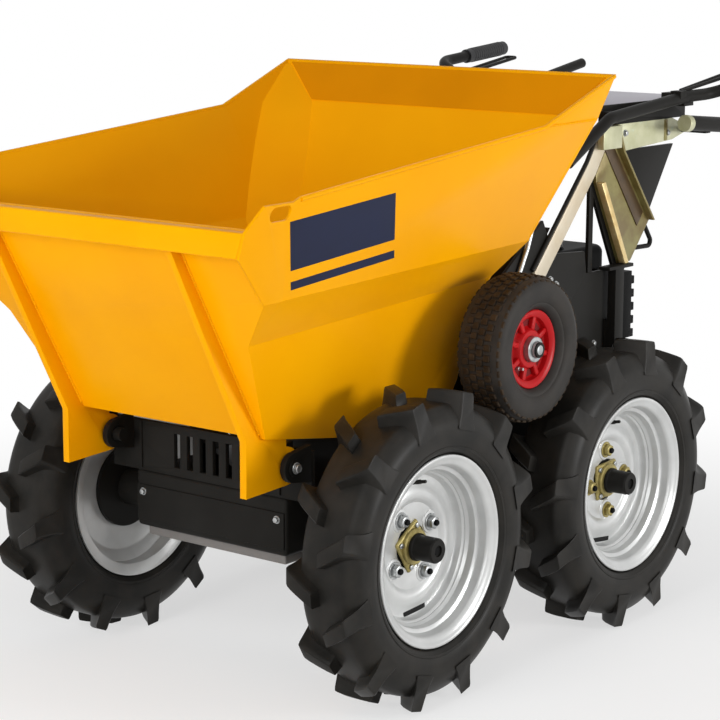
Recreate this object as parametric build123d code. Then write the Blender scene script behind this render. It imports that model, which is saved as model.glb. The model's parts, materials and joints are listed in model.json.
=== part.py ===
from build123d import *
import os
from math import atan2, cos, degrees, hypot, radians, sin, tan

import numpy as np

# Walk-behind site dumper with four lugged wheels and a skip that tips forward.
# Millimetres, +X forward over the skip's lip, +Y to the operator's left, +Z up.
# The ground is z = 0.  Lengths along x are measured from the middle of the wheelbase,
# and the finished model is moved once, so that its origin is under its middle.

# ---------------------------------------------------------------- running gear
wheelbase = 518.0
lug_tip_radius = 233.0          # loaded radius of the main tyres, out to the lugs' tips
tyre_tread_radius = 212.0       # casing between the lugs
tyre_width = 112.0
rim_outer_face = 347.0          # outer flange of the main rims, from the centre plane
rim_width = 95.0
rim_flange_radius = 141.5
rim_bead_radius = 127.0
rim_sheet = 4.0
rim_disc_offset = 55.0          # disc behind the outer flange
rim_well_depth = 18.0
rim_seat_length = 26.0          # flange to the start of the well
rim_well_start = 34.0           # flange to the full depth of the well
lug_count = 12                  # on each half of the tread
lug_thickness = 25.0            # across the lug's flat top
lug_root_thickness = 58.0       # where the casing is widest
lug_skew = 32.0                 # degrees across the tread, shoulder ends trailing
lug_side_stand = 2.0            # lugs stand proud of the casing's sides
tyre_side_radius = 178.0        # where the casing is widest
tyre_shoulder_radius = 196.0
tyre_shoulder_half = 51.0
tyre_crown_half = 34.0
tyre_bead_half = 46.0
tyre_flange_gap = 0.5
hub_flange_radius = 66.0
hub_flange_thickness = 8.0
hub_nose_radius = 19.0
hub_nose_inset = 6.0            # hub nose end behind the rim's outer flange
wheel_bolt_circle = 101.6
wheel_bolt_hole = 7.0
wheel_bolt_count = 4
axle_stub_radius = 14.0
axle_tube_radius = 30.0
axle_flange = 96.0
axle_flange_thickness = 10.0
axle_flange_drop = 12.0         # below the top of the box
running_gap = 0.05              # radial, shafts and pins in their holes
wheel_side_gap = 6.0            # hub to axle tube

# ---------------------------------------------------------------- axles
front_axle_x = wheelbase / 2
rear_axle_x = -wheelbase / 2
axle_z = lug_tip_radius

# ---------------------------------------------------------------- guide wheels
guide_radius = 113.0
guide_tyre_width = 82.0
guide_outer_face = 338.0
guide_height = 489.5
guide_x = 2.0
guide_rim_radius = 60.0
guide_rim_width = 54.0
guide_rim_sheet = 4.0
guide_seat_depth = 4.0
guide_hub_radius = 19.0
guide_hub_stand = 6.0           # hub tube beyond the rim's outer edge
guide_axle_radius = 10.0
guide_cap_radius = 12.0
guide_cap_gap = 1.0
guide_cap_length = 6.0
guide_shoulder_height = 27.0    # tread down to where the tyre is widest
guide_tread_round = 9.0
carrier_thickness = 9.0
carrier_width = 56.0
carrier_gap = 16.0
carrier_foot_drop = 40.0        # below the top of the box

# ---------------------------------------------------------------- chassis
chassis_width = 300.0
chassis_bottom = axle_z - 19.0
chassis_top = axle_z + 69.0
chassis_rear = rear_axle_x - 171.0
belly_drop = 16.0
belly_inset = 12.0
front_plate_thickness = 8.0
front_plate_height = 78.0
front_plate_slots = 6
front_plate_slot_width = 12.0
front_plate_slot_height = 52.0
front_plate_slot_pitch = 26.0

# ---------------------------------------------------------------- skip
skip_wall = 4.0
floor_front_x = front_axle_x + 203.0
floor_front_z = chassis_top + 109.0
floor_slope = 0.17              # falls towards the rear
front_slope = 0.56              # panel's x over z
rear_slope = 0.575
rear_ref_x = rear_axle_x + 165.0    # rear panel at rear_ref_z
rear_ref_z = 680.0
plan_taper = 0.030              # side panels widen towards the lip, y over x
floor_half_width = 189.0        # at the front lower corner
lower_fold_half_width = 233.0   # at the front
lower_fold_front_z = 560.0
lower_fold_fall = 0.043         # folds rise towards the rear, z over x
upper_fold_half_width = 293.6
upper_fold_front_z = 627.0
upper_fold_fall = 0.079
lip_height = 35.0
lip_top_z = 733.0
lip_stand = 19.7                # lip in front of the front panel, at its top
lip_front_x = floor_front_x + front_slope * (lip_top_z - floor_front_z) + lip_stand
rim_front_x = lip_front_x - 29.0
rim_front_z = lip_top_z + 32.0
rim_front_half_width = 341.0
rim_kink_x = rear_axle_x + 237.0    # where the headboard's wings begin
rim_rear_z = 824.0
headboard_top_x = rear_axle_x + 59.0
headboard_top_z = 892.0
headboard_half_width = 332.0
nose_x = lip_front_x - 89.0     # where the rim starts to fall to the lip
cheek_lap = 40.0
rim_cut = 1.0                   # the inner solid stands this far over the rim, to open it
lift_slot_x = lip_front_x - 66.0
lift_slot_z = rim_front_z - 13.0
lift_slot_length = 44.0
lift_slot_height = 20.0
lip_gap = 0.2
rib_y = 181.8                   # outer face of the ribs and legs
rib_thickness = 12.0
rib_top_stand = 19.0
leg_foot_x = floor_front_x + 32.0

# ---------------------------------------------------------------- tipping pivot
pivot_x = floor_front_x - 54.0
pivot_z = chassis_top + 60.0
pivot_pin_radius = 10.0
pivot_boss_radius = 28.0
leg_foot_z = pivot_z - 32.0
lug_plate_thickness = 10.0
lug_end_radius = 22.0
lug_plate_gap = 6.0
lug_height = 56.0
bolt_head_height = 9.0
bolt_head_radius = 15.0
chassis_front = pivot_x - 36.0

# ---------------------------------------------------------------- hubs and tyres
hub_cap_thickness = 6.0
hub_bore_radius = 34.0
hub_bore_gap = 0.5
hub_collar = 6.0
stud_length = 16.0
stud_radius = 5.0
nut_height = 8.0
nut_radius = 9.5
lug_centre_gap = 3.0
rim_seat_half = rim_width / 2 - rim_sheet - 2.5

# ---------------------------------------------------------------- rear frame, from the rear axle
cheek_y = 196.0                 # inner face of the frame's side plates
cheek_thickness = 6.0
cheek_front_x = rear_axle_x + 219.0
cheek_shoulder_x = rear_axle_x + 195.0
cheek_peak_x = rear_axle_x + 59.0
cheek_notch_x = rear_axle_x + 28.0
cheek_cover_x = rear_axle_x - 64.0
cheek_deck_x = rear_axle_x - 70.0
cheek_foot = 10.0
cheek_shoulder_z = 560.0
cheek_peak_z = 655.0
cheek_notch_z = 598.0
cheek_cover_z = 592.0
deck_z = 555.0                  # top of the side plates beside the engine
firewall_thickness = 5.0
firewall_foot_x = rear_axle_x + 179.0
firewall_foot_z = 470.0
firewall_top_x = rear_axle_x + 34.0
firewall_top_z = 640.0
strut_thickness = 6.0
strut_gap = 1.0                 # front strut to the plated channel behind it
front_strut_width = 29.0
front_strut_foot_x = rear_axle_x + 79.0
front_strut_foot_z = 564.0
front_strut_kink_x = rear_axle_x - 72.0
front_strut_kink_z = 727.0
front_strut_top_x = rear_axle_x - 117.0
front_strut_top_z = 790.0
post_x = rear_axle_x - 139.0
post_width = 26.0
post_depth = 16.0
post_top_z = 556.0
post_plate_z = 470.0
post_cap_front_x = rear_axle_x - 107.0
post_cap_rear_x = rear_axle_x - 181.0
post_cap_thickness = 6.0
channel_foot_half = 17.0
channel_foot_x = rear_axle_x - 178.0
channel_foot_z = post_top_z + post_cap_thickness
channel_knee_x = rear_axle_x - 84.0
channel_knee_z = 703.0
channel_top_x = rear_axle_x - 135.0     # rear edge at the bracket's top
channel_back_x = rear_axle_x - 155.0    # rear edge at the bracket's bottom
channel_tip_x = rear_axle_x - 253.0
channel_tip_z = 627.0
channel_flange = 12.0
stay_foot_x = rear_axle_x - 80.0
stay_width = 12.0
bracket_front_gap = 1.0         # behind the channel's rear edge
bracket_rear_x = rear_axle_x - 311.0
bracket_tail_x = rear_axle_x - 356.0
bracket_bottom = 750.0
bracket_rear_bottom = 759.0
bracket_top = 796.0
bracket_tail_low = 770.0
bracket_tail_high = 781.0
gusset_lap = 9.0                # in front of the channel's front edge
gusset_front_x = rear_axle_x - 126.0
gusset_tip_x = rear_axle_x - 255.0
gusset_tip_z = 633.0
gusset_low_x = rear_axle_x - 242.0
gusset_low_z = 622.0
gusset_rear_x = rear_axle_x - 334.0
console_z = 824.0
console_thickness = 5.0
console_front_x = rear_axle_x - 86.0
console_rear_x = rear_axle_x - 391.0
rail_rear_x = rear_axle_x - 351.0
clamp_length = 30.0
hook_corner_x = rear_axle_x - 282.0
hook_corner_z = 579.0
hook_end_x = rear_axle_x - 211.0
hook_end_z = 581.0
hook_radius = 4.0

# ---------------------------------------------------------------- handlebars
bar_radius = 10.0
bar_y = 240.0
bar_foot_x = rear_axle_x + 50.0
bar_foot_z = 748.0
bar_bend_x = rear_axle_x - 71.0
bar_bend_z = 811.0
bar_crown_x = rear_axle_x - 286.0
bar_crown_y = 252.0
bar_crown_z = 835.0
bar_turn_x = rear_axle_x - 353.0        # where the bars turn outwards
bar_turn_y = 262.0
bar_turn_z = 837.0
bar_flare_x = rear_axle_x - 389.0
bar_flare_y = 338.0
bar_flare_z = 866.0
bar_bend_radius = 40.0
grip_radius = 13.0
grip_length = 125.0
grip_end_x = rear_axle_x - 595.0
grip_end_y = 342.0
grip_end_z = 884.0
grip_wall = 4.0
hand_bar_y = 262.0              # short lower bars beside the bracket
hand_bar_front_x = rear_axle_x - 270.0
hand_bar_rear_x = rear_axle_x - 470.0
hand_bar_front_z = 792.5
hand_bar_rear_z = 774.7
hand_bar_radius = 13.0
hand_bar_pin = 16.0
lever_radius = 3.0
lever_rise = 0.127              # levers climb to the rear, z over x
lever_front_x = rear_axle_x - 266.0
lever_length = 229.0
lever_pair_gap = 11.0
lever_over_bar = 12.0
throttle_y = 150.0
throttle_front_x = rear_axle_x - 320.0
throttle_length = 263.0
throttle_rise = 0.167
throttle_grip_length = 114.0
throttle_grip_radius = 9.0
throttle_stand = 12.0

# ---------------------------------------------------------------- engine
engine_front = rear_axle_x - 81.0
engine_rear = rear_axle_x - 251.0
engine_half_width = 92.0
engine_top = 500.0
tank_front = rear_axle_x - 91.0
tank_rear = rear_axle_x - 251.0
tank_half_width = 128.0
tank_bottom = 506.0
tank_top = 578.0
tank_corner = 26.0
cap_radius = 22.0
cap_height = 16.0
cap_inset = 48.0
starter_radius = 96.0
starter_depth = 48.0
starter_z = 412.0
starter_hub_radius = 44.0
starter_hub_depth = 14.0
cleaner_gap = 6.0
cleaner_depth = 52.0
cleaner_height = 100.0
cleaner_length = 120.0
guard_front_x = rear_axle_x - 186.0
guard_length = 34.0
guard_depth = 66.0
guard_bottom = 429.0
guard_height = 114.0
guard_rib_count = 5
guard_rib_depth = 8.0

grip_run = (grip_end_x - bar_flare_x, grip_end_y - bar_flare_y, grip_end_z - bar_flare_z)
grip_overhang = grip_radius * hypot(grip_run[1], grip_run[2]) / hypot(*grip_run)
model_shift = -(lip_front_x + grip_end_x - grip_overhang) / 2
sides = {"left": 1, "right": -1}
wheel_mid_y = rim_outer_face - rim_width / 2


# ---------------------------------------------------------------- helpers
def block(x0, x1, y0, y1, z0, z1):
    """Box between two opposite corners."""
    return Pos((x0 + x1) / 2, (y0 + y1) / 2, (z0 + z1) / 2) * Box(
        abs(x1 - x0), abs(y1 - y0), abs(z1 - z0))


def rod_y(x, z, y0, y1, radius):
    """Cylinder along Y from y0 to y1."""
    return Pos(x, (y0 + y1) / 2, z) * Rot(90, 0, 0) * Cylinder(radius, abs(y1 - y0))


def plate_xz(points, y0, y1):
    """Flat plate with an outline in x and z, from y0 to y1."""
    face = make_face(Polyline(*[(x, 0, z) for x, z in points], close=True))
    solid = extrude(face, abs(y1 - y0), dir=(0, 1, 0))
    return Pos(0, min(y0, y1), 0) * solid


def tube(points, radius, bend):
    """Round bar along straight runs joined by arcs."""
    path = FilletPolyline(*points, radius=bend) if len(points) > 2 else Line(*points)
    start = Plane(origin=path @ 0, z_dir=path % 0)
    return sweep(start * Circle(radius), path=path)


def mirrored(shape, side):
    """The left-hand shape, or its mirror for the right-hand side."""
    return shape if side == 1 else mirror(shape, about=Plane.XZ)


def turned(profile):
    """Solid of revolution about Y from (radius, y) points."""
    face = make_face(Polyline(*[(r, y, 0) for r, y in profile], close=True))
    return revolve(face, Axis.Y)


def panel_plane(normal, point, inset=0.0):
    """Plane as unit outward normal and distance, moved inwards by inset."""
    n = np.array(normal, float)
    n = n / np.linalg.norm(n)
    return n, float(n @ np.array(point, float)) - inset


def meet(*planes):
    """Point where three planes meet."""
    normals = np.array([p[0] for p in planes])
    offsets = np.array([p[1] for p in planes])
    return tuple(float(v) for v in np.linalg.solve(normals, offsets))


# ---------------------------------------------------------------- skip
def skip_panels(inset=0.0):
    """The skip's panels as planes, keyed by name, each moved inwards by inset."""
    lower_x = floor_front_x + front_slope * (lower_fold_front_z - floor_front_z)
    upper_x = floor_front_x + front_slope * (upper_fold_front_z - floor_front_z)
    corners = {
        "floor": (floor_front_x, floor_half_width, floor_front_z),
        "lower": (lower_x, lower_fold_half_width, lower_fold_front_z),
        "upper": (upper_x, upper_fold_half_width, upper_fold_front_z),
        "rim": (rim_front_x, rim_front_half_width, rim_front_z),
    }

    def side(fold, rise_to_rear, other):
        # a side panel holds its fold and one more corner at the front
        along = (-1.0, -plan_taper, rise_to_rear)
        across = np.subtract(corners[other], corners[fold])
        normal = np.cross(across, along)
        return panel_plane(normal if normal[1] > 0 else -normal, corners[fold], inset)

    return {
        "front": panel_plane((1, 0, -front_slope), (floor_front_x, 0, floor_front_z), inset),
        "rear": panel_plane((-1, 0, -rear_slope), (rear_ref_x, 0, rear_ref_z), inset),
        "floor": panel_plane((floor_slope, 0, -1), (floor_front_x, 0, floor_front_z), inset),
        "lower": side("lower", lower_fold_fall, "floor"),
        "flare": side("lower", lower_fold_fall, "upper"),
        "band": side("upper", upper_fold_fall, "rim"),
    }


def skip_solid(inset, rise):
    """Closed solid inside the skip's panels; inset moves them inwards, rise lifts the rim."""
    panels = skip_panels(inset)
    middle = panel_plane((0, 1, 0), (0, 0, 0))
    crease_plane = panel_plane((0, 0, 1), (0, 0, rim_rear_z))
    rim = panel_plane((rim_rear_z - rim_front_z, 0, rim_front_x - rim_kink_x),
                      (rim_kink_x, 0, rim_rear_z), -rise)
    wing_rim = panel_plane((headboard_top_z - rim_rear_z, 0, rim_kink_x - headboard_top_x),
                           (rim_kink_x, 0, rim_rear_z), -rise)
    lip_x = floor_front_x + front_slope * (lip_top_z - floor_front_z)
    nose = panel_plane((rim_front_z - lip_top_z, 0, lip_x - nose_x),
                       (nose_x, 0, rim_front_z), -rise)
    crease = meet(panels["band"], panels["rear"], crease_plane)
    kink = meet(panels["band"], rim, wing_rim)
    crease_x = meet(panels["rear"], crease_plane, middle)[0]
    top = (headboard_top_x + inset, headboard_half_width - inset, headboard_top_z)
    headboard = panel_plane((crease[2] - top[2], 0, top[0] - crease_x), top)
    wing = panel_plane(np.cross(np.subtract(kink, crease), np.subtract(top, crease)), crease)
    points = {
        "floor_front": meet(panels["floor"], panels["front"], panels["lower"]),
        "floor_rear": meet(panels["floor"], panels["rear"], panels["lower"]),
        "lower_front": meet(panels["front"], panels["lower"], panels["flare"]),
        "lower_rear": meet(panels["rear"], panels["lower"], panels["flare"]),
        "upper_front": meet(panels["front"], panels["flare"], panels["band"]),
        "upper_rear": meet(panels["rear"], panels["flare"], panels["band"]),
        "lip": meet(panels["front"], panels["band"], nose),
        "rim": meet(panels["band"], nose, rim),
        "kink": kink,
        "crease": crease,
        "head": meet(wing, headboard, wing_rim),
    }
    flip = {name: (x, -y, z) for name, (x, y, z) in points.items()}
    side_outlines = [
        ("floor_front", "floor_rear", "lower_rear", "lower_front"),
        ("lower_front", "lower_rear", "upper_rear", "upper_front"),
        ("upper_front", "upper_rear", "crease", "kink", "rim", "lip"),
        ("kink", "crease", "head"),
    ]
    cross_outlines = [
        ("floor_front", "floor_rear"),
        ("floor_front", "lower_front", "upper_front", "lip"),
        ("floor_rear", "lower_rear", "upper_rear", "crease"),
        ("crease", "head"),
        ("head", "kink"),
        ("kink", "rim"),
        ("rim", "lip"),
    ]
    outlines = [[table[n] for n in names] for names in side_outlines for table in (points, flip)]
    outlines += [[points[n] for n in names] + [flip[n] for n in reversed(names)]
                 for names in cross_outlines]
    return Solid(Shell([Face(Wire.make_polygon(outline, close=True)) for outline in outlines]))


def on_panel(panel, x, z):
    """Point of a side panel at x and z."""
    (nx, ny, nz), distance = panel
    return (x, (distance - nx * x - nz * z) / ny, z)


def front_panel_x(z):
    """Outer face of the front panel at height z."""
    return floor_front_x + front_slope * (z - floor_front_z)


def skip_shell():
    """Sheet skip: folded side panels, headboard and the cheeks that close the lip's ends."""
    shell = skip_solid(0.0, 0.0) - skip_solid(skip_wall, rim_cut)
    band = skip_panels()["band"]
    cheek = [(front_panel_x(upper_fold_front_z) - cheek_lap, upper_fold_front_z),
             (front_panel_x(upper_fold_front_z), upper_fold_front_z),
             (lip_front_x, lip_top_z - lip_height),
             (lip_front_x, lip_top_z),
             (rim_front_x, rim_front_z),
             (nose_x - cheek_lap, rim_front_z)]
    outline = [on_panel(band, x, z) for x, z in cheek]
    left = extrude(Face(Wire.make_polygon(outline, close=True)), skip_wall, dir=tuple(-band[0]))
    slot = Pos(lift_slot_x, rim_front_half_width, lift_slot_z) * Rot(90, 0, 0) * extrude(
        SlotOverall(lift_slot_length, lift_slot_height), lift_slot_length, both=True)
    left = left - slot
    shell = shell - slot - mirror(slot, about=Plane.XZ)
    return shell + left + mirror(left, about=Plane.XZ)


def skip_lip():
    """Folded box along the skip's front edge, between its cheeks."""
    top = lip_top_z
    low = lip_top_z - lip_height
    inner = skip_panels(skip_wall + lip_gap)["band"]
    profile = [(front_panel_x(low) + lip_gap, low), (lip_front_x, low), (lip_front_x, top),
               (front_panel_x(top) + lip_gap, top)]
    section = [on_panel(inner, x, z) for x, z in profile]
    back = [(x, -y, z) for x, y, z in section]
    faces = [Face(Wire.make_polygon(section, close=True)), Face(Wire.make_polygon(back, close=True))]
    for i in range(4):
        j = (i + 1) % 4
        faces.append(Face(Wire.make_polygon([section[i], section[j], back[j], back[i]], close=True)))
    return Solid(Shell(faces))


def skip_leg(side):
    """Rib up the front panel, running down into the leg that carries the tipping pivot."""
    lip_low = lip_top_z - lip_height
    top_x = front_panel_x(lip_low)
    outline = [
        (top_x, lip_low), (top_x + rib_top_stand, lip_low),
        (leg_foot_x, floor_front_z), (leg_foot_x, leg_foot_z),
        (pivot_x, pivot_z - pivot_boss_radius),
        (pivot_x, pivot_z + pivot_boss_radius),
        (pivot_x, floor_z(pivot_x)), (floor_front_x, floor_front_z),
    ]
    plate = plate_xz(outline, rib_y - rib_thickness, rib_y)
    plate += rod_y(pivot_x, pivot_z, rib_y - rib_thickness, rib_y, pivot_boss_radius)
    plate -= rod_y(pivot_x, pivot_z, rib_y - 2 * rib_thickness, rib_y + rib_thickness,
                   pivot_pin_radius + running_gap)
    return mirrored(plate, side)


def floor_z(x):
    """Underside of the skip's floor at x."""
    return floor_front_z - floor_slope * (floor_front_x - x)


# ---------------------------------------------------------------- tipping pivot
def pivot_lug(side):
    """Two black lugs on the chassis, either side of the leg."""
    inner = rib_y - rib_thickness - lug_plate_gap
    outer = rib_y + lug_plate_gap
    solids = []
    for y0, y1 in ((inner - lug_plate_thickness, inner), (outer, outer + lug_plate_thickness)):
        lug = plate_xz([(chassis_front, pivot_z - lug_height / 2),
                        (pivot_x, pivot_z - lug_end_radius),
                        (pivot_x, pivot_z + lug_end_radius),
                        (chassis_front, pivot_z + lug_height / 2)], y0, y1)
        lug += rod_y(pivot_x, pivot_z, y0, y1, lug_end_radius)
        lug -= rod_y(pivot_x, pivot_z, y0 - 1, y1 + 1, pivot_pin_radius + running_gap)
        solids.append(mirrored(lug, side))
    return Compound(solids)


def pivot_bolt(side):
    """Pivot pin with its hexagon head outside the outer lug and its nut inside the inner one."""
    inner = rib_y - rib_thickness - lug_plate_gap - lug_plate_thickness
    outer = rib_y + lug_plate_gap + lug_plate_thickness
    bolt = rod_y(pivot_x, pivot_z, inner - bolt_head_height, outer + bolt_head_height, pivot_pin_radius)
    for y0, y1 in ((outer, outer + bolt_head_height), (inner - bolt_head_height, inner)):
        hexagon = Pos(pivot_x, y1, pivot_z) * Rot(90, 0, 0) * extrude(
            RegularPolygon(bolt_head_radius, 6), y1 - y0)
        bolt += hexagon
    return mirrored(bolt, side)


# ---------------------------------------------------------------- chassis
def chassis_box():
    """Main fabricated box between the axles."""
    half = chassis_width / 2
    box = block(chassis_rear, chassis_front, -half, half, chassis_bottom, chassis_top)
    return box


def front_plate():
    """Upright plate over the chassis front, with a row of plain slots."""
    half = rib_y + lug_plate_gap + lug_plate_thickness
    plate = block(chassis_front - front_plate_thickness, chassis_front, -half, half,
                  chassis_top, chassis_top + front_plate_height)
    mid_z = chassis_top + front_plate_height / 2
    for i in range(front_plate_slots):
        y = (i - (front_plate_slots - 1) / 2) * front_plate_slot_pitch
        plate -= block(chassis_front - 2 * front_plate_thickness, chassis_front + 1,
                       y - front_plate_slot_width / 2, y + front_plate_slot_width / 2,
                       mid_z - front_plate_slot_height / 2, mid_z + front_plate_slot_height / 2)
    return plate


def belly_plate():
    """Skid plate under the box."""
    half = chassis_width / 2 - belly_inset
    return block(chassis_rear + belly_inset, chassis_front - belly_inset, -half, half,
                 chassis_bottom - belly_drop, chassis_bottom)


def axles():
    """Axle tubes with their flanges on both sides of the box, and their stub shafts."""
    y = chassis_width / 2
    solids = []
    for x in (front_axle_x, rear_axle_x):
        part = block(x - axle_flange / 2, x + axle_flange / 2, y, y + axle_flange_thickness,
                     chassis_bottom, chassis_top - axle_flange_drop)
        part += rod_y(x, axle_z, y, hub_back_y - wheel_side_gap, axle_tube_radius)
        part += rod_y(x, axle_z, y, hub_nose_y - hub_cap_thickness - 1, axle_stub_radius)
        solids += [mirrored(part, side) for side in sides.values()]
    return Compound(solids)


# ---------------------------------------------------------------- main wheels
hub_nose_y = rim_outer_face - hub_nose_inset
disc_outer_y = rim_outer_face - rim_disc_offset
hub_back_y = disc_outer_y - rim_sheet - hub_flange_thickness


lug_lean = (tyre_width / 2 - lug_centre_gap) / 2 * tan(radians(lug_skew))
lug_reach = lug_lean + lug_thickness / 2
lug_plane = (lug_tip_radius ** 2 - lug_reach ** 2) ** 0.5    # flat tops, corners at the tip radius
lug_rest_angle = degrees(atan2(lug_reach, lug_plane))        # turns a corner to the bottom


def lug_outline(row, radius, thickness):
    """The bar's outline at one radius, leaning so that its shoulder end trails."""
    ends = ((lug_lean, lug_centre_gap), (-lug_lean, tyre_width / 2))
    front = [(t + thickness / 2, row * y, radius) for t, y in ends]
    back = [(t - thickness / 2, row * y, radius) for t, y in reversed(ends)]
    return make_face(Polyline(*front, *back, close=True))


def lug_prism(angle, row):
    """One tread bar, from the middle of the tread to past the shoulder, wider at its root."""
    root = lug_outline(row, tyre_side_radius, lug_root_thickness)
    top = lug_outline(row, lug_plane, lug_thickness)
    return Rot(0, angle, 0) * loft([root, top], ruled=True)


def tyre_solid(side):
    """Lugged traction tyre about the origin, its tread bars fused on."""
    half = tyre_width / 2 - lug_side_stand
    edge = [(rim_bead_radius, rim_seat_half), (rim_flange_radius + tyre_flange_gap, rim_seat_half),
            (rim_flange_radius + rim_sheet, tyre_bead_half), (tyre_side_radius, half),
            (tyre_shoulder_radius, tyre_shoulder_half), (tyre_tread_radius, tyre_crown_half)]
    casing = turned(edge + [(r, -y) for r, y in reversed(edge)])
    pitch = 360 / lug_count
    bars = [lug_prism(i * pitch, 1) for i in range(lug_count)]
    bars += [lug_prism((i + 0.5) * pitch, -1) for i in range(lug_count)]
    tyre = Rot(0, -lug_rest_angle, 0) * casing.fuse(*bars)
    return mirrored(tyre, side)


def rim_solid():
    """Pressed rim about the origin, outer face towards +Y."""
    half = rim_width / 2
    t = rim_sheet
    well = rim_bead_radius - rim_well_depth
    seat = half - rim_seat_length
    base = half - rim_well_start
    disc = half - rim_disc_offset
    profile = [
        (rim_flange_radius, half), (rim_flange_radius, half - t), (rim_bead_radius, half - t * 1.5),
        (rim_bead_radius, seat), (well, base), (well, -base),
        (rim_bead_radius, -seat), (rim_bead_radius, -half + t * 1.5), (rim_flange_radius, -half + t),
        (rim_flange_radius, -half), (rim_bead_radius - t, -half), (rim_bead_radius - t, -seat - t / 2),
        (well - t, -base - t / 4), (well - t, disc - t), (hub_bore_radius, disc - t),
        (hub_bore_radius, disc), (well - t, disc), (well - t, base + t / 4),
        (rim_bead_radius - t, seat + t / 2), (rim_bead_radius - t, half),
    ]
    rim = turned(profile)
    for i in range(wheel_bolt_count):
        angle = radians(45 + 360 / wheel_bolt_count * i)
        rim -= rod_y(wheel_bolt_circle / 2 * cos(angle), wheel_bolt_circle / 2 * sin(angle),
                     disc - 2 * t, disc + t, wheel_bolt_hole)
    return rim


def hub_solid():
    """Hub about the origin: flange behind the disc, nose through it, four studs with nuts."""
    shift = -wheel_mid_y
    hub = rod_y(0, 0, hub_back_y + shift, disc_outer_y - rim_sheet + shift, hub_flange_radius)
    hub += rod_y(0, 0, disc_outer_y - rim_sheet + shift, disc_outer_y + hub_collar + shift,
                 hub_bore_radius - hub_bore_gap)
    hub += rod_y(0, 0, disc_outer_y + shift, hub_nose_y + shift, hub_nose_radius)
    hub -= rod_y(0, 0, hub_back_y - 1 + shift, hub_nose_y - hub_cap_thickness + shift,
                 axle_stub_radius + running_gap)
    for i in range(wheel_bolt_count):
        angle = radians(45 + 360 / wheel_bolt_count * i)
        x, z = wheel_bolt_circle / 2 * cos(angle), wheel_bolt_circle / 2 * sin(angle)
        hub += rod_y(x, z, hub_back_y + 1 + shift, disc_outer_y + stud_length + shift, stud_radius)
        hub += Pos(x, disc_outer_y + nut_height + shift, z) * Rot(90, 0, 0) * extrude(
            RegularPolygon(nut_radius, 6), nut_height - 0.2)
    return hub


# ---------------------------------------------------------------- guide wheels
guide_mid_y = guide_outer_face - guide_tyre_width / 2


def guide_tyre_solid():
    """Plain ribbed tyre of a guide wheel, about the origin."""
    half = guide_tyre_width / 2
    seat = guide_rim_width / 2 - guide_rim_sheet - tyre_flange_gap
    edge = [(guide_rim_radius - guide_seat_depth, seat), (guide_rim_radius + tyre_flange_gap, seat),
            (guide_rim_radius + guide_tread_round, half * 0.82),
            (guide_radius - guide_shoulder_height, half),
            (guide_radius - guide_tread_round, half * 0.92), (guide_radius, half * 0.6)]
    return turned(edge + [(r, -y) for r, y in reversed(edge)])


def guide_rim_solid():
    """Pressed rim with a dished disc and hub tube, about the origin."""
    half = guide_rim_width / 2
    t = guide_rim_sheet
    seat = guide_rim_radius - guide_seat_depth
    bore = guide_axle_radius + running_gap
    profile = [(guide_rim_radius, half), (guide_rim_radius, half - t), (seat, half - t),
               (seat, -half + t), (guide_rim_radius, -half + t), (guide_rim_radius, -half),
               (seat - t, -half), (seat - t, -t), (guide_hub_radius, -t),
               (guide_hub_radius, -half), (bore, -half), (bore, half + guide_hub_stand),
               (guide_hub_radius, half + guide_hub_stand), (guide_hub_radius, 0), (seat - t, 0),
               (seat - t, half)]
    return turned(profile)


def guide_carrier(side):
    """Bracket up from the chassis with the guide wheel's axle."""
    outer = guide_mid_y - guide_tyre_width / 2 - carrier_gap
    inner = outer - carrier_thickness
    hub_end = guide_mid_y + guide_rim_width / 2 + guide_hub_stand + guide_cap_gap
    x0, x1 = guide_x - carrier_width / 2, guide_x + carrier_width / 2
    foot_z = chassis_top - carrier_foot_drop
    upright = block(x0, x1, inner, outer, foot_z, guide_height)
    upright += rod_y(guide_x, guide_height, inner, outer, carrier_width / 2)
    foot = block(x0, x1, chassis_width / 2, outer, foot_z, foot_z + carrier_thickness)
    shaft = rod_y(guide_x, guide_height, inner, hub_end, guide_axle_radius)
    cap = rod_y(guide_x, guide_height, hub_end, hub_end + guide_cap_length, guide_cap_radius)
    return mirrored(upright + foot + shaft + cap, side)


# ---------------------------------------------------------------- engine
def engine_block():
    """The engine's crankcase and cylinder as one plain block on the chassis."""
    return block(engine_rear, engine_front, -engine_half_width, engine_half_width,
                 chassis_top, engine_top)


def fuel_tank():
    """Rounded tank over the engine, on a low pedestal."""
    tank = block(tank_rear, tank_front, -tank_half_width, tank_half_width, tank_bottom, tank_top)
    tank = fillet(tank.edges().filter_by(Axis.Z), tank_corner)
    tank = fillet(tank.edges().group_by(Axis.Z)[-1], tank_corner / 2)
    return tank + block(tank_rear + tank_corner, tank_front - tank_corner, -engine_half_width / 2,
                        engine_half_width / 2, engine_top, tank_bottom)


def fuel_cap():
    """Filler cap on the tank."""
    return Pos(tank_front - cap_inset, tank_half_width - cap_inset, tank_top + cap_height / 2) * Cylinder(
        cap_radius, cap_height)


def starter_housing():
    """Round fan housing on the engine's rear, with the raised drum of the pull starter."""
    along = Plane(origin=(engine_rear, 0, starter_z), z_dir=(-1, 0, 0))
    drum = extrude(along * Circle(starter_radius), starter_depth)
    drum = fillet(drum.edges().group_by(Axis.X)[0], starter_depth / 4)
    return drum + extrude(along * Circle(starter_hub_radius), starter_depth + starter_hub_depth)


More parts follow.
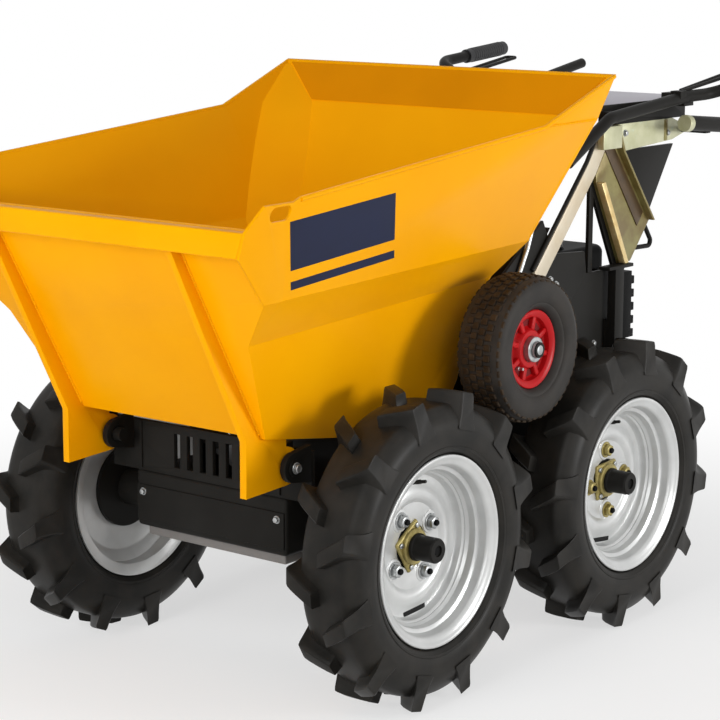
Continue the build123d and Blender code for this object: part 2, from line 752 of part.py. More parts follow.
def air_cleaner():
    """Air cleaner on the engine's right side."""
    middle = (engine_front + engine_rear) / 2
    box = block(middle - cleaner_length / 2, middle + cleaner_length / 2,
                -engine_half_width - cleaner_depth, -engine_half_width - cleaner_gap,
                engine_top - cleaner_height, engine_top)
    box = fillet(box.edges().filter_by(Axis.Y), cleaner_gap * 2)
    neck = block(middle - cleaner_length / 4, middle + cleaner_length / 4,
                 -engine_half_width - cleaner_gap, -engine_half_width,
                 engine_top - cleaner_height / 2, engine_top - cleaner_height / 4)
    return box + neck


def exhaust_guard():
    """Ribbed silencer guard on the engine's left side, behind the post."""
    outer = cheek_y + cheek_thickness
    x0 = guard_front_x - guard_length
    guard = block(x0 + guard_rib_depth, guard_front_x, outer - guard_depth, outer,
                  guard_bottom, guard_bottom + guard_height)
    pitch = guard_height / guard_rib_count
    for i in range(guard_rib_count):
        low = guard_bottom + i * pitch
        guard += block(x0, x0 + guard_rib_depth, outer - guard_depth, outer, low, low + pitch * 0.6)
    pipe_z = guard_bottom + guard_height / 3
    return guard + block(x0 + guard_rib_depth, guard_front_x, engine_half_width, outer - guard_depth,
                         pipe_z, pipe_z + pitch)


# ---------------------------------------------------------------- rear frame
strut_y0 = cheek_y + cheek_thickness
strut_y1 = strut_y0 + strut_thickness


front_strut_line = [(front_strut_foot_x, front_strut_foot_z),
                    (front_strut_kink_x, front_strut_kink_z),
                    (front_strut_top_x, front_strut_top_z)]


def beside(points, offset):
    """The line through points in x and z, moved sideways by offset, its corners mitred."""
    normals = []
    for (x0, z0), (x1, z1) in zip(points, points[1:]):
        length = hypot(x1 - x0, z1 - z0)
        normals.append(np.array([z0 - z1, x1 - x0]) / length)
    pairs = zip([normals[0]] + normals, normals + [normals[-1]])
    moves = [(a + b) / (1 + a @ b) * offset for a, b in pairs]
    return [(x + float(m[0]), z + float(m[1])) for (x, z), m in zip(points, moves)]


def frame_cheek(side):
    """Black side plate from behind the skip to beside the engine, with its foot on the chassis."""
    y1 = cheek_y + cheek_thickness
    outline = [(chassis_rear, chassis_top), (cheek_front_x, chassis_top),
               (cheek_shoulder_x, cheek_shoulder_z), (cheek_peak_x, cheek_peak_z),
               (cheek_notch_x, cheek_notch_z), (cheek_cover_x, cheek_cover_z),
               (cheek_deck_x, deck_z), (chassis_rear, deck_z)]
    plate = plate_xz(outline, cheek_y, y1)
    foot = block(chassis_rear, cheek_front_x, chassis_width / 2, y1, chassis_top - cheek_foot, chassis_top)
    return mirrored(plate + foot, side)


def firewall():
    """Sloping plate behind the skip, between the side plates."""
    return plate_xz([(firewall_foot_x, firewall_foot_z),
                     (firewall_foot_x - firewall_thickness, firewall_foot_z),
                     (firewall_top_x - firewall_thickness, firewall_top_z),
                     (firewall_top_x, firewall_top_z)], -cheek_y, cheek_y)


def front_strut(side):
    """Pale flat strut from the side plate up to the bracket."""
    front = beside(front_strut_line, -front_strut_width / 2)
    rear = beside(front_strut_line, front_strut_width / 2)
    return mirrored(plate_xz(front + rear[::-1], strut_y0, strut_y1), side)


def rear_strut(side):
    """Plated channel from the post up to the bracket, its long edges folded outwards."""
    foot_front = (channel_foot_x + channel_foot_half, channel_foot_z)
    foot_rear = (channel_foot_x - channel_foot_half, channel_foot_z)
    knee = (channel_knee_x, channel_knee_z)
    back = [(channel_top_x, bracket_top), (channel_back_x, bracket_bottom),
            (channel_tip_x, channel_tip_z)]
    beside_strut = beside(front_strut_line, front_strut_width / 2 + strut_gap)[1:]
    web = plate_xz([foot_front, knee] + beside_strut + back + [foot_rear], strut_y0, strut_y1)
    for edge, inward in (([foot_front, knee], -strut_thickness), (back, strut_thickness)):
        fold = edge + [(x + inward, z) for x, z in reversed(edge)]
        web += plate_xz(fold, strut_y1, strut_y1 + channel_flange)
    return mirrored(web, side)


def rear_post(side):
    """Black post outside the side plate, with the cap that carries the plated channel."""
    x0, x1 = post_x - post_width / 2, post_x + post_width / 2
    post = block(x0, x1, strut_y1, strut_y1 + post_depth, chassis_top, post_top_z)
    post += block(x0, x1, strut_y0, strut_y1, chassis_top, post_plate_z)
    cap = block(post_cap_rear_x, post_cap_front_x, strut_y0, strut_y1 + post_depth, post_top_z,
                post_top_z + post_cap_thickness)
    return mirrored(post + cap, side)


def gusset(side):
    """Black plate behind the plated channel, with its upright stay and a wire hook at its tip."""
    foot_front = channel_foot_x + channel_foot_half
    outline = [(channel_foot_x, deck_z), (foot_front + gusset_lap, deck_z),
               (channel_knee_x + gusset_lap, channel_knee_z), (gusset_front_x, bracket_bottom),
               (gusset_rear_x, bracket_bottom), (gusset_tip_x, gusset_tip_z),
               (gusset_low_x, gusset_low_z)]
    stay = [(stay_foot_x - stay_width / 2, deck_z), (stay_foot_x + stay_width / 2, deck_z),
            (channel_knee_x + gusset_lap, channel_knee_z),
            (channel_knee_x + gusset_lap - stay_width, channel_knee_z)]
    plate = plate_xz(outline, cheek_y, strut_y0) + plate_xz(stay, cheek_y, strut_y0)
    hook_y = strut_y0 - hook_radius
    hook = tube([(gusset_low_x - hook_radius, hook_y, gusset_low_z + hook_radius),
                 (hook_corner_x, hook_y, hook_corner_z), (hook_end_x, hook_y, hook_end_z)],
                hook_radius, 2 * hook_radius)
    return mirrored(plate + hook, side)


def bar_points():
    """The left handlebar's corners."""
    return [(bar_foot_x, bar_y, bar_foot_z), (bar_bend_x, bar_y, bar_bend_z),
            (bar_crown_x, bar_crown_y, bar_crown_z), (bar_turn_x, bar_turn_y, bar_turn_z),
            (bar_flare_x, bar_flare_y, bar_flare_z), (grip_end_x, grip_end_y, grip_end_z)]


def bar_path(radius):
    """The left handlebar as a round bar of a radius."""
    return tube(bar_points(), radius, bar_bend_radius)


def bar_at(x):
    """Y and z of the handlebar's middle at x, on the straight lines between its corners."""
    corners = bar_points()[::-1]
    return tuple(float(np.interp(x, [p[0] for p in corners], [p[i] for p in corners]))
                 for i in (1, 2))


def console_bracket(side):
    """Plated bracket at the top of the struts, with its tail towards the operator."""
    outline = [(channel_back_x - bracket_front_gap, bracket_bottom),
               (channel_top_x - bracket_front_gap, bracket_top), (bracket_rear_x, bracket_top),
               (bracket_tail_x, bracket_tail_high), (bracket_tail_x, bracket_tail_low),
               (bracket_rear_x, bracket_rear_bottom)]
    return mirrored(plate_xz(outline, strut_y1, strut_y1 + strut_thickness), side)


def console_side(side):
    """Black rail on the bracket that carries the console plate and clamps the handlebar."""
    y0, y1 = strut_y1, strut_y1 + strut_thickness
    rail = block(rail_rear_x, console_front_x, y0, y1, bracket_top, console_z + console_thickness)
    for x in (console_front_x - clamp_length, bracket_rear_x):
        y, z = bar_at(x + clamp_length / 2)
        rail += block(x, x + clamp_length, y0, y, min(console_z, z) - bar_radius / 2,
                      z + bar_radius / 2)
    rail -= bar_path(bar_radius + 2 * running_gap)
    return mirrored(rail, side)


def console_plate():
    """Pale plate between the handlebars."""
    return block(console_rear_x, console_front_x, -strut_y1, strut_y1, console_z,
                 console_z + console_thickness)


def end_frame():
    """Corner and direction of the left handlebar's last run, at its free end."""
    end = Vector(grip_end_x, grip_end_y, grip_end_z)
    return end, (end - Vector(bar_flare_x, bar_flare_y, bar_flare_z)).normalized()


def handlebar(side):
    """Round bar from the skip's rear, over the console and back to the grip."""
    end, direction = end_frame()
    cut = Plane(origin=end - direction * grip_wall, z_dir=direction)
    bar = bar_path(bar_radius) - extrude(cut * Rectangle(grip_length, grip_length), grip_length)
    return mirrored(bar, side)


def grip(side):
    """Rubber grip over the end of the handlebar."""
    end, direction = end_frame()
    plane = Plane(origin=end - direction * grip_length, z_dir=direction)
    sleeve = extrude(plane * Circle(grip_radius), grip_length)
    sleeve -= extrude(plane * Circle(bar_radius), grip_length - grip_wall)
    return mirrored(sleeve, side)


def hand_bar(side):
    """Short lower bar pinned to the bracket's tail."""
    front = (hand_bar_front_x, hand_bar_y, hand_bar_front_z)
    rear = (hand_bar_rear_x, hand_bar_y, hand_bar_rear_z)
    bar = tube([front, rear], hand_bar_radius, 0)
    pin = block(bracket_tail_x, bracket_tail_x + hand_bar_pin, strut_y1 + strut_thickness,
                hand_bar_y, bracket_tail_low, bracket_tail_high)
    return mirrored(bar + pin, side)


def control_lever(side):
    """Double wire lever over the handlebar, its two wires joined at the rear, on a saddle."""
    y, z = bar_at(lever_front_x)
    rear_x = lever_front_x - lever_length
    high = z + lever_over_bar
    rear_z = high + lever_length * lever_rise
    wire = [(lever_front_x, y, z + bar_radius), (lever_front_x - lever_over_bar, y, high),
            (rear_x, y + lever_pair_gap, rear_z), (rear_x, y - lever_pair_gap, rear_z),
            (lever_front_x - 2 * lever_over_bar, y - lever_pair_gap, high)]
    saddle = block(lever_front_x - bar_radius, lever_front_x + bar_radius, y - bar_radius,
                   y + bar_radius, z, z + bar_radius + lever_radius)
    lever = saddle + tube(wire, lever_radius, 2 * lever_radius)
    return mirrored(lever - bar_path(bar_radius + 2 * running_gap), side)


def throttle():
    """Throttle lever on the right of the console: a bent rod with a round hand grip."""
    plate_z = console_z + console_thickness
    rear_x = throttle_front_x - throttle_length
    start = (rear_x + throttle_grip_length, -throttle_y, plate_z + throttle_stand + lever_radius)
    end = (rear_x, -throttle_y, start[2] + throttle_grip_length * throttle_rise)
    rod = tube([(throttle_front_x, -throttle_y, plate_z),
                (throttle_front_x, -throttle_y, plate_z + throttle_stand), start, end],
               lever_radius, 2 * lever_radius)
    return rod + tube([start, end], throttle_grip_radius, 0)


# ---------------------------------------------------------------- assembly
def both(*makers):
    """The left and right copies of pieces, as separate solids of one node."""
    return Compound([make(side) for make in makers for side in sides.values()])


def build():
    """Every node of the dumper, keyed by its name, in the wheelbase frame."""
    nodes = {
        "chassis_box": chassis_box(),
        "front_plate": front_plate(),
        "belly_plate": belly_plate(),
        "axles": axles(),
        "pivot_lugs": both(pivot_lug),
        "pivot_bolts": both(pivot_bolt),
        "guide_carriers": both(guide_carrier),
        "engine_block": engine_block(),
        "fuel_tank": fuel_tank(),
        "fuel_cap": fuel_cap(),
        "starter_housing": starter_housing(),
        "air_cleaner": air_cleaner(),
        "exhaust_guard": exhaust_guard(),
        "firewall": firewall(),
        "frame_cheeks": both(frame_cheek),
        "rear_posts": both(rear_post),
        "front_struts": both(front_strut),
        "rear_struts": both(rear_strut),
        "gussets": both(gusset),
        "console_brackets": both(console_bracket),
        "console_sides": both(console_side),
        "console_plate": console_plate(),
        "handlebars": both(handlebar),
        "grips": both(grip),
        "hand_bars": both(hand_bar),
        "control_levers": both(control_lever),
        "throttle": throttle(),
        "skip_shell": skip_shell(),
        "skip_lip": skip_lip(),
        "skip_legs": both(skip_leg),
    }
    for side_name, side in sides.items():
        for place, x in (("front", front_axle_x), ("rear", rear_axle_x)):
            where = Pos(x, side * wheel_mid_y, axle_z)
            label = f"{place}_{side_name}"
            nodes[f"tyre_{label}"] = where * tyre_solid(side)
            nodes[f"rim_{label}"] = where * mirrored(rim_solid(), side)
            nodes[f"hub_{label}"] = where * mirrored(hub_solid(), side)
        where = Pos(guide_x, side * guide_mid_y, guide_height)
        nodes[f"guide_tyre_{side_name}"] = where * mirrored(guide_tyre_solid(), side)
        nodes[f"guide_rim_{side_name}"] = where * mirrored(guide_rim_solid(), side)
    return nodes


if __name__ == "__main__":
    os.makedirs("parts", exist_ok=True)
    for name, shape in build().items():
        export_step(Pos(model_shift, 0, 0) * shape, f"parts/{name}.step")
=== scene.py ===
"""Looks of a walk-behind site dumper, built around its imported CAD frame.

Metres, +X forward over the skip's lip, +Y to the operator's left, +Z up.
"""
import json
import logging
import math
from dataclasses import dataclass
from enum import Enum
from functools import cache

import bmesh
import bpy
from mathutils import Matrix, Vector
from mathutils.bvhtree import BVHTree


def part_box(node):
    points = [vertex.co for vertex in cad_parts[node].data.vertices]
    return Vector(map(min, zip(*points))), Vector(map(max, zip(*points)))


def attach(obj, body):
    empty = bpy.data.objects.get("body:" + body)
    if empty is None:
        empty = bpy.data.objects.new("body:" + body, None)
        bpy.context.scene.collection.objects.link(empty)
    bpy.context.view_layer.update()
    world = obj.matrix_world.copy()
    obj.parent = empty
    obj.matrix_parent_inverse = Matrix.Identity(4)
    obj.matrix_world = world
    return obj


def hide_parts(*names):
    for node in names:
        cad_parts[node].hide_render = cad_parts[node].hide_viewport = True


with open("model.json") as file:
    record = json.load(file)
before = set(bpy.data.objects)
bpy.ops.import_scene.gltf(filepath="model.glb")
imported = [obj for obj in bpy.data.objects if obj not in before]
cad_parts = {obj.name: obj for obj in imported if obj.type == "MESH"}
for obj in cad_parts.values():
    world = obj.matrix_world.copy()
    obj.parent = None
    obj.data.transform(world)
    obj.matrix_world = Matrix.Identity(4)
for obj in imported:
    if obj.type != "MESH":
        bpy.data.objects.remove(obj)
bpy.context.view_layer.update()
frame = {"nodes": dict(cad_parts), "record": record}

MM = 0.001
FULL_TURN = 2 * math.pi
QUARTER_TURN = math.pi / 2
MERGE_GAP = 0.01 * MM           # points of a CAD mesh that are one
COPLANAR = 0.6                  # degrees up to which CAD faces are one flat face
# degrees from which an edge stays sharp, by kind of part
CRISP_SHARP = 25.0
TURNED_SHARP = 30.0
PLAIN_SHARP = 32.0
BEVEL_SHARP = 40.0
ROUND_SHARP = 50.0
WELD_SHARP = 60.0

logging.basicConfig(level=logging.INFO, format="%(message)s")
log = logging.getLogger("dumper")

Point = tuple[float, float, float]
Pair = tuple[float, float]


def mm(*values: float) -> tuple[float, ...]:
    """Lengths given in millimetres, in metres."""
    return tuple(value * MM for value in values)


def rows_mm(*rows: tuple[float, ...]) -> tuple[tuple[float, ...], ...]:
    """Rows of lengths given in millimetres, in metres."""
    return tuple(mm(*row) for row in rows)


def off(point: Point | Vector, *offset: float) -> Point:
    """Point at an offset in millimetres from one in metres."""
    return tuple(value + shift * MM for value, shift in zip(point, offset))


def stepped(radius: float, y: float, *offsets: Pair) -> list[Pair]:
    """Profile points at offsets in millimetres from a corner in metres."""
    return [(radius + out * MM, y + up * MM) for out, up in offsets]


class Side(Enum):
    """Left and right halves of the machine, with the sign of their y."""

    LEFT = 1
    RIGHT = -1

    @property
    def label(self) -> str:
        """Lower-case word used in the names of nodes and bodies."""
        return self.name.lower()


class Place(Enum):
    """Front and rear axles."""

    FRONT = "front"
    REAR = "rear"


# ------------------------------------------------------------------ node helpers
def linear(colour: str) -> tuple[float, float, float, float]:
    """Turn an sRGB hex colour into linear RGBA.

    Args:
        colour: Six hex digits.

    Returns:
        Linear red, green, blue and an alpha of 1.
    """
    parts = [int(colour[i:i + 2], 16) / 255 for i in (0, 2, 4)]
    red, green, blue = (c / 12.92 if c <= 0.04045 else ((c + 0.055) / 1.055) ** 2.4 for c in parts)
    return red, green, blue, 1.0


def add_node(tree: bpy.types.NodeTree, kind: str, inputs: dict | None = None,
             **settings: object) -> bpy.types.Node:
    """Add a node with its settings, constants and links.

    Args:
        tree: Shader or geometry tree.
        kind: Node type.
        inputs: Socket name or number to a constant or to the output socket that feeds it.
        **settings: Attributes of the node.

    Returns:
        The new node.
    """
    node = tree.nodes.new(kind)
    for key, value in settings.items():
        setattr(node, key, value)
    for key, value in (inputs or {}).items():
        if isinstance(value, bpy.types.NodeSocket):
            tree.links.new(value, node.inputs[key])
        else:
            node.inputs[key].default_value = value
    return node


def empty_tree(owner: bpy.types.ID) -> bpy.types.NodeTree:
    """Emptied node tree of a material or a world.

    Args:
        owner: The material or the world.

    Returns:
        Its tree.
    """
    owner.use_nodes = True
    owner.node_tree.nodes.clear()
    return owner.node_tree


# ------------------------------------------------------------------ finishes
@dataclass(frozen=True)
class Finish:
    """A surface finish: its colours, its gloss and the grain that the eye sees on it.

    grain_mm is the size of the surface's own texture and patch_mm that of slow changes of tone
    between base and shade. Specks are small spots of another tone over speck_share of it.
    """

    name: str
    slot: str
    base: str
    shade: str
    roughness: float
    metallic: float = 0.0
    sheen: float = 0.5              # specular level; 0.5 is that of plain plastic or varnish
    coat: float = 0.0
    grain_mm: float = 2.0
    grain_height: float = 0.05
    patch_mm: float = 120.0
    rough_spread: float = 0.08
    speck: str = ""
    speck_mm: float = 4.0
    speck_share: float = 0.0

    def material(self) -> bpy.types.Material:
        """Build the material once and return it.

        Returns:
            The node-based material.
        """
        found = bpy.data.materials.get(self.name)
        if found:
            return found
        made = bpy.data.materials.new(self.name)
        tree = empty_tree(made)
        place = add_node(tree, "ShaderNodeTexCoord").outputs["Object"]
        patches = add_node(tree, "ShaderNodeTexNoise", {
            "Vector": place, "Scale": 1 / (self.patch_mm * MM), "Detail": 3.0, "Roughness": 0.55})
        tone = add_node(tree, "ShaderNodeValToRGB", {"Fac": patches.outputs["Fac"]})
        stops = ((0.35, self.shade), (0.65, self.base))
        for stop, (level, hue) in zip(tone.color_ramp.elements, stops):
            stop.position = level
            stop.color = linear(hue)
        colour = tone.outputs["Color"]
        if self.speck:
            colour = self._specks(tree, place, colour)
        grain = add_node(tree, "ShaderNodeTexNoise", {
            "Vector": place, "Scale": 1 / (self.grain_mm * MM), "Detail": 2.0})
        smoothest = 0.03
        gloss = add_node(tree, "ShaderNodeMapRange", {
            "Value": patches.outputs["Fac"],
            "To Min": max(self.roughness - self.rough_spread, smoothest),
            "To Max": self.roughness + self.rough_spread})
        bump = add_node(tree, "ShaderNodeBump", {
            "Height": grain.outputs["Fac"], "Strength": 1.0, "Distance": self.grain_height * MM})
        shader = add_node(tree, "ShaderNodeBsdfPrincipled", {
            "Base Color": colour, "Roughness": gloss.outputs["Result"],
            "Normal": bump.outputs["Normal"], "Metallic": self.metallic,
            "Specular IOR Level": self.sheen, "Coat Weight": self.coat, "Coat Roughness": 0.06})
        add_node(tree, "ShaderNodeOutputMaterial", {"Surface": shader.outputs["BSDF"]})
        return made

    def _specks(self, tree: bpy.types.NodeTree, place: bpy.types.NodeSocket,
                colour: bpy.types.NodeSocket) -> bpy.types.NodeSocket:
        """Scatter small spots of another tone, as dust, scuffs or zinc spangle.

        Args:
            tree: The material's tree.
            place: Object coordinates.
            colour: Colour under the spots.

        Returns:
            The mixed colour.
        """
        spots = add_node(tree, "ShaderNodeTexNoise", {
            "Vector": place, "Scale": 1 / (self.speck_mm * MM), "Detail": 5.0, "Roughness": 0.7})
        # the smaller the share, the higher the noise has to rise before a spot begins
        edge = 0.5 + (0.5 - self.speck_share) * 0.5
        blur, strength = 0.12, 0.8
        cut = add_node(tree, "ShaderNodeMapRange", {
            "Value": spots.outputs["Fac"], "From Min": edge, "From Max": edge + blur,
            "To Max": strength})
        # the RGBA sockets of a mix node come after its float and vector ones
        mixed = add_node(tree, "ShaderNodeMix", {
            0: cut.outputs["Result"], 6: colour, 7: linear(self.speck)}, data_type="RGBA")
        return mixed.outputs[2]


# Two-pack amber enamel sprayed on steel sheet: glossy, with a faint orange peel.
AMBER = Finish("amber_enamel", "skip_paint", "F1A702", "ECA000", 0.36, sheen=0.05,
               grain_mm=3.0, grain_height=0.03, patch_mm=260.0, rough_spread=0.05)
# Painted shade: the same enamel made duller and browner, on a sheet over the headboard's inside.
AMBER_PAINTED_SHADE = Finish("amber_headboard_sheet", "skip_paint", "D68A01", "CE8400", 0.5, sheen=0.05,
                     grain_mm=3.0, grain_height=0.04, patch_mm=200.0, rough_spread=0.05)
# Vinyl film in navy, satin and quite flat.
NAVY = Finish("navy_film", "skip_paint", "1A213C", "171C34", 0.42, sheen=0.12,
              grain_mm=1.5, grain_height=0.01)
# Satin black powder coat: a fine pebble, a little dust in patches.
POWDER = Finish("black_powder_coat", "frame_paint", "201F1D", "191816", 0.45, sheen=0.08,
                grain_mm=1.4, grain_height=0.05, speck="26241F", speck_mm=9.0, speck_share=0.08)
# Black moulded covers of the engine, with a fine leather grain.
COVER = Finish("black_moulded_cover", "engine_paint", "0C0C0C", "090909", 0.48, sheen=0.03,
               grain_mm=1.0, grain_height=0.04)
# Cast crankcase under engine black, coarser and duller than sheet.
CASTING = Finish("black_cast_iron", "engine_casting", "0F0F0F", "0C0C0C", 0.55, sheen=0.06,
                 grain_mm=2.2, grain_height=0.16)
# Silver wheel enamel: fine metallic flake under a thin clear coat.
SILVER = Finish("silver_wheel_enamel", "rim_paint", "CACBCA", "BCBDBC", 0.32, metallic=0.4,
                coat=0.1, grain_mm=1.0, grain_height=0.02, patch_mm=60.0,
                speck="AEACA4", speck_mm=16.0, speck_share=0.12)
# Red wheel enamel, glossy.
RED = Finish("red_wheel_enamel", "guide_rim_paint", "B41015", "A40D11", 0.34, sheen=0.16,
             grain_mm=1.5, grain_height=0.02)
# Painted shade: a darker red laid in the rim's pressed hollows.
RED_PAINTED_SHADE = Finish("red_wheel_hollow", "guide_rim_paint", "6E0C0F", "5A090B", 0.5, sheen=0.2,
                    grain_mm=1.5, grain_height=0.03)
# Carcass rubber of the main tyres, charcoal with a low polish on its shoulders.
RUBBER = Finish("lugged_rubber", "tyre_rubber", "272522", "1C1B19", 0.42, sheen=0.12,
                grain_mm=1.3, grain_height=0.06, patch_mm=45.0, speck="35302A", speck_mm=8.0,
                speck_share=0.14)
# Greyer rubber of the small tyres' sidewalls.
GUIDE_RUBBER = Finish("guide_tyre_rubber", "tyre_rubber", "33302D", "292725", 0.55, sheen=0.12,
                      grain_mm=1.2, grain_height=0.06, patch_mm=40.0, speck="3E3833", speck_mm=6.0,
                      speck_share=0.15)
# Dusty brown-black rubber of the small tyres' tread.
TREAD_RUBBER = Finish("guide_tread_rubber", "tyre_rubber", "382E23", "271F17", 0.62, sheen=0.1,
                      grain_mm=1.2, grain_height=0.1, patch_mm=18.0, speck="4A3D2E", speck_mm=5.0,
                      speck_share=0.3)
# Zinc plate with yellow chromate: straw to olive with a broken sheen.
YELLOW_ZINC = Finish("yellow_zinc_plate", "zinc", "837B48", "6B5A2C", 0.36, metallic=0.3,
                     grain_mm=1.2, grain_height=0.03, patch_mm=40.0, speck="6B4E25", speck_mm=26.0,
                     speck_share=0.3)
# Painted shade: the same zinc plate made dark bronze, laid in the channels' folds.
ZINC_PAINTED_SHADE = Finish("bronze_zinc_fold", "zinc", "4E3A1E", "3C2B15", 0.42, metallic=0.3,
                     grain_mm=1.2, grain_height=0.03, patch_mm=26.0)
# Painted highlight: the same zinc plate made pale straw, laid on the channels' lit edges.
ZINC_PAINTED_HIGHLIGHT = Finish("straw_zinc_fold", "zinc", "E0CB95", "CBAE72", 0.36, metallic=0.4,
                    grain_mm=1.2, grain_height=0.03, patch_mm=26.0)
# Zinc plate with a pale greenish chromate.
PALE_ZINC = Finish("pale_zinc_plate", "zinc", "C2C1A2", "B2B28E", 0.38, metallic=0.35,
                   grain_mm=1.2, grain_height=0.03, patch_mm=30.0, speck="B8C4B4", speck_mm=22.0,
                   speck_share=0.3)
# Flat steel strut in a warm pale coat.
PALE_BAR = Finish("pale_bar_coat", "pale_paint", "CFC6B2", "C8B99E", 0.42, metallic=0.1,
                  grain_mm=1.5, grain_height=0.03, patch_mm=60.0)
# Bright zinc on bolts, nuts and washers.
BRIGHT_ZINC = Finish("bright_zinc_bolt", "bolt_steel", "B4B6B6", "9A9C9C", 0.3, metallic=0.85,
                     grain_mm=0.8, grain_height=0.01, patch_mm=12.0)
# Yellow-passivated hub plate.
HUB_YELLOW = Finish("yellow_hub_plate", "hub_plate", "A3955A", "857640", 0.4, metallic=0.4,
                    grain_mm=1.0, grain_height=0.03, patch_mm=12.0)
# Lilac-grey enamel on the console.
LILAC = Finish("lilac_enamel", "console_paint", "B0ACB8", "A6A1AE", 0.4, grain_mm=2.0,
               grain_height=0.02)
# Soft moulded rubber of the hand grips.
GRIP = Finish("moulded_grip", "grip_rubber", "1B1B1D", "151517", 0.58, grain_mm=0.9,
              grain_height=0.05, patch_mm=30.0)
# Bare grey skid plate with darker specks, made lighter as a painted reflection of the pale floor on
# its lower edge.
SKID_PAINTED_REFLECTION = Finish("worn_skid_plate", "skid_steel", "7A7673", "6C6966", 0.48, metallic=0.2,
              grain_mm=3.0, grain_height=0.06, speck="4A4744", speck_mm=18.0, speck_share=0.15)
# Dark gap, the shadow inside a hole.
GAP = Finish("dark_gap", "frame_paint", "0B0B0B", "090909", 0.7, sheen=0.2, grain_mm=2.0,
             grain_height=0.01)


# ------------------------------------------------------------------ mesh helpers
def new_object(name: str, data: bpy.types.ID) -> bpy.types.Object:
    """Link data to the scene as an object at the origin.

    Args:
        name: Object name.
        data: Its mesh, curve, light or camera.

    Returns:
        The new object.
    """
    made = bpy.data.objects.new(name, data)
    bpy.context.scene.collection.objects.link(made)
    return made


def mesh_of(bm: bmesh.types.BMesh, name: str) -> bpy.types.Mesh:
    """Turn a bmesh into a mesh and free it.

    Args:
        bm: The bmesh, not used again.
        name: Mesh name.

    Returns:
        The new mesh.
    """
    mesh = bpy.data.meshes.new(name)
    bm.to_mesh(mesh)
    bm.free()
    return mesh


def set_shading(mesh: bpy.types.Mesh, sharp_degrees: float = PLAIN_SHARP) -> None:
    """Shade a mesh smooth, with its steeper edges kept sharp.

    Args:
        mesh: Mesh to shade.
        sharp_degrees: Angle from which an edge stays sharp.
    """
    bm = bmesh.new()
    bm.from_mesh(mesh)
    limit = math.radians(sharp_degrees)
    for face in bm.faces:
        face.smooth = True
    for edge in bm.edges:
        edge.smooth = not edge.is_manifold or edge.calc_face_angle(0.0) < limit
    bm.to_mesh(mesh)
    bm.free()


def add_piece(name: str, mesh: bpy.types.Mesh, finish: Finish, body: str,
              replaces: tuple[str, ...] = ()) -> bpy.types.Object:
    """Give a mesh its finish and its body, and hide the CAD nodes that it stands for.

    Args:
        name: Piece name.
        mesh: Mesh with its place already in it.
        finish: Surface finish.
        body: CAD body that it moves with.
        replaces: CAD nodes that it hides.

    Returns:
        The new object.
    """
    made = new_object(name, mesh)
    mesh.materials.clear()
    mesh.materials.append(finish.material())
    for polygon in mesh.polygons:
        polygon.material_index = 0
    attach(made, body)
    if replaces:
        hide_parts(*replaces)
    log.info("piece %s on %s", name, body)
    return made


def evaluated_mesh(obj: bpy.types.Object) -> bpy.types.Mesh:
    """Plain mesh of an object with its modifiers applied."""
    depsgraph = bpy.context.evaluated_depsgraph_get()
    return bpy.data.meshes.new_from_object(obj.evaluated_get(depsgraph))


def discard(*objects: bpy.types.Object) -> None:
    """Remove helper objects."""
    for obj in objects:
        bpy.data.objects.remove(obj)


def with_bevel(mesh: bpy.types.Mesh, width: float, segments: int = 2,
               by_weight: bool = False) -> bpy.types.Mesh:
    """Round a mesh's edges and shade it.

    Args:
        mesh: Mesh to round.
        width: Bevel width in metres.
        segments: Facets across the bevel.
        by_weight: Use the mesh's bevel weights rather than the edges' angle.

    Returns:
        A new mesh.
    """
    helper = new_object("bevel_helper", mesh)
    bevel = helper.modifiers.new("Bevel", "BEVEL")
    bevel.width = width
    bevel.segments = segments
    bevel.limit_method = "WEIGHT" if by_weight else "ANGLE"
    bevel.angle_limit = math.radians(PLAIN_SHARP)
    bevel.miter_outer = "MITER_ARC"
    bevel.harden_normals = False
    made = evaluated_mesh(helper)
    discard(helper)
    set_shading(made, BEVEL_SHARP)
    return made


def node_bmesh(node: str) -> bmesh.types.BMesh:
    """Merged and flattened copy of a CAD node's mesh.

    Args:
        node: CAD node.

    Returns:
        The copy, to be freed or made a mesh.
    """
    bm = bmesh.new()
    bm.from_mesh(frame["nodes"][node].data)
    bmesh.ops.remove_doubles(bm, verts=bm.verts, dist=MERGE_GAP)
    bmesh.ops.dissolve_limit(bm, angle_limit=math.radians(COPLANAR), verts=bm.verts, edges=bm.edges)
    return bm


def dress(finish: Finish, *nodes: str) -> None:
    """Give CAD nodes that stay a finish.

    Args:
        finish: Surface finish.
        *nodes: CAD nodes, whose meshes are left alone.
    """
    for node in nodes:
        mesh = frame["nodes"][node].data
        for i in range(len(mesh.materials)):
            mesh.materials[i] = finish.material()


def soften(body: str, *parts: tuple[str, Finish, float, int]) -> None:
    """Stand in for CAD nodes with copies whose edges are rounded.

    Args:
        body: Body that they belong to.
        *parts: CAD node, finish, edge rounding in millimetres and facets across it.
    """
    for node, finish, width, segments in parts:
        mesh = with_bevel(mesh_of(node_bmesh(node), node + "_soft"), width * MM, segments)
        add_piece(node + "_dressed", mesh, finish, body, (node,))


def lathe(profile: list[Pair], steps: int, sharp: float | None = None,
          closed: bool = True) -> bpy.types.Mesh:
    """Turn a profile about Y.

    Args:
        profile: Radius and y of each point, in metres.
        steps: Facets round the axis.
        sharp: Degrees from which an edge stays sharp; every face is flat when left out.
        closed: Join the last point to the first.

    Returns:
        The turned mesh, normals outwards.
    """
    bm = bmesh.new()
    rings = []
    for i in range(steps):
        a = FULL_TURN * i / steps
        rings.append([bm.verts.new((r * math.cos(a), y, r * math.sin(a))) for r, y in profile])
    count = len(profile) if closed else len(profile) - 1
    for i in range(steps):
        one, two = rings[i], rings[(i + 1) % steps]
        for j in range(count):
            k = (j + 1) % len(profile)
            bm.faces.new((one[j], one[k], two[k], two[j]))
    bmesh.ops.remove_doubles(bm, verts=bm.verts, dist=0.1 * MERGE_GAP)
    bmesh.ops.recalc_face_normals(bm, faces=bm.faces)
    mesh = mesh_of(bm, "turned")
    if sharp is not None:
        set_shading(mesh, sharp)
    return mesh


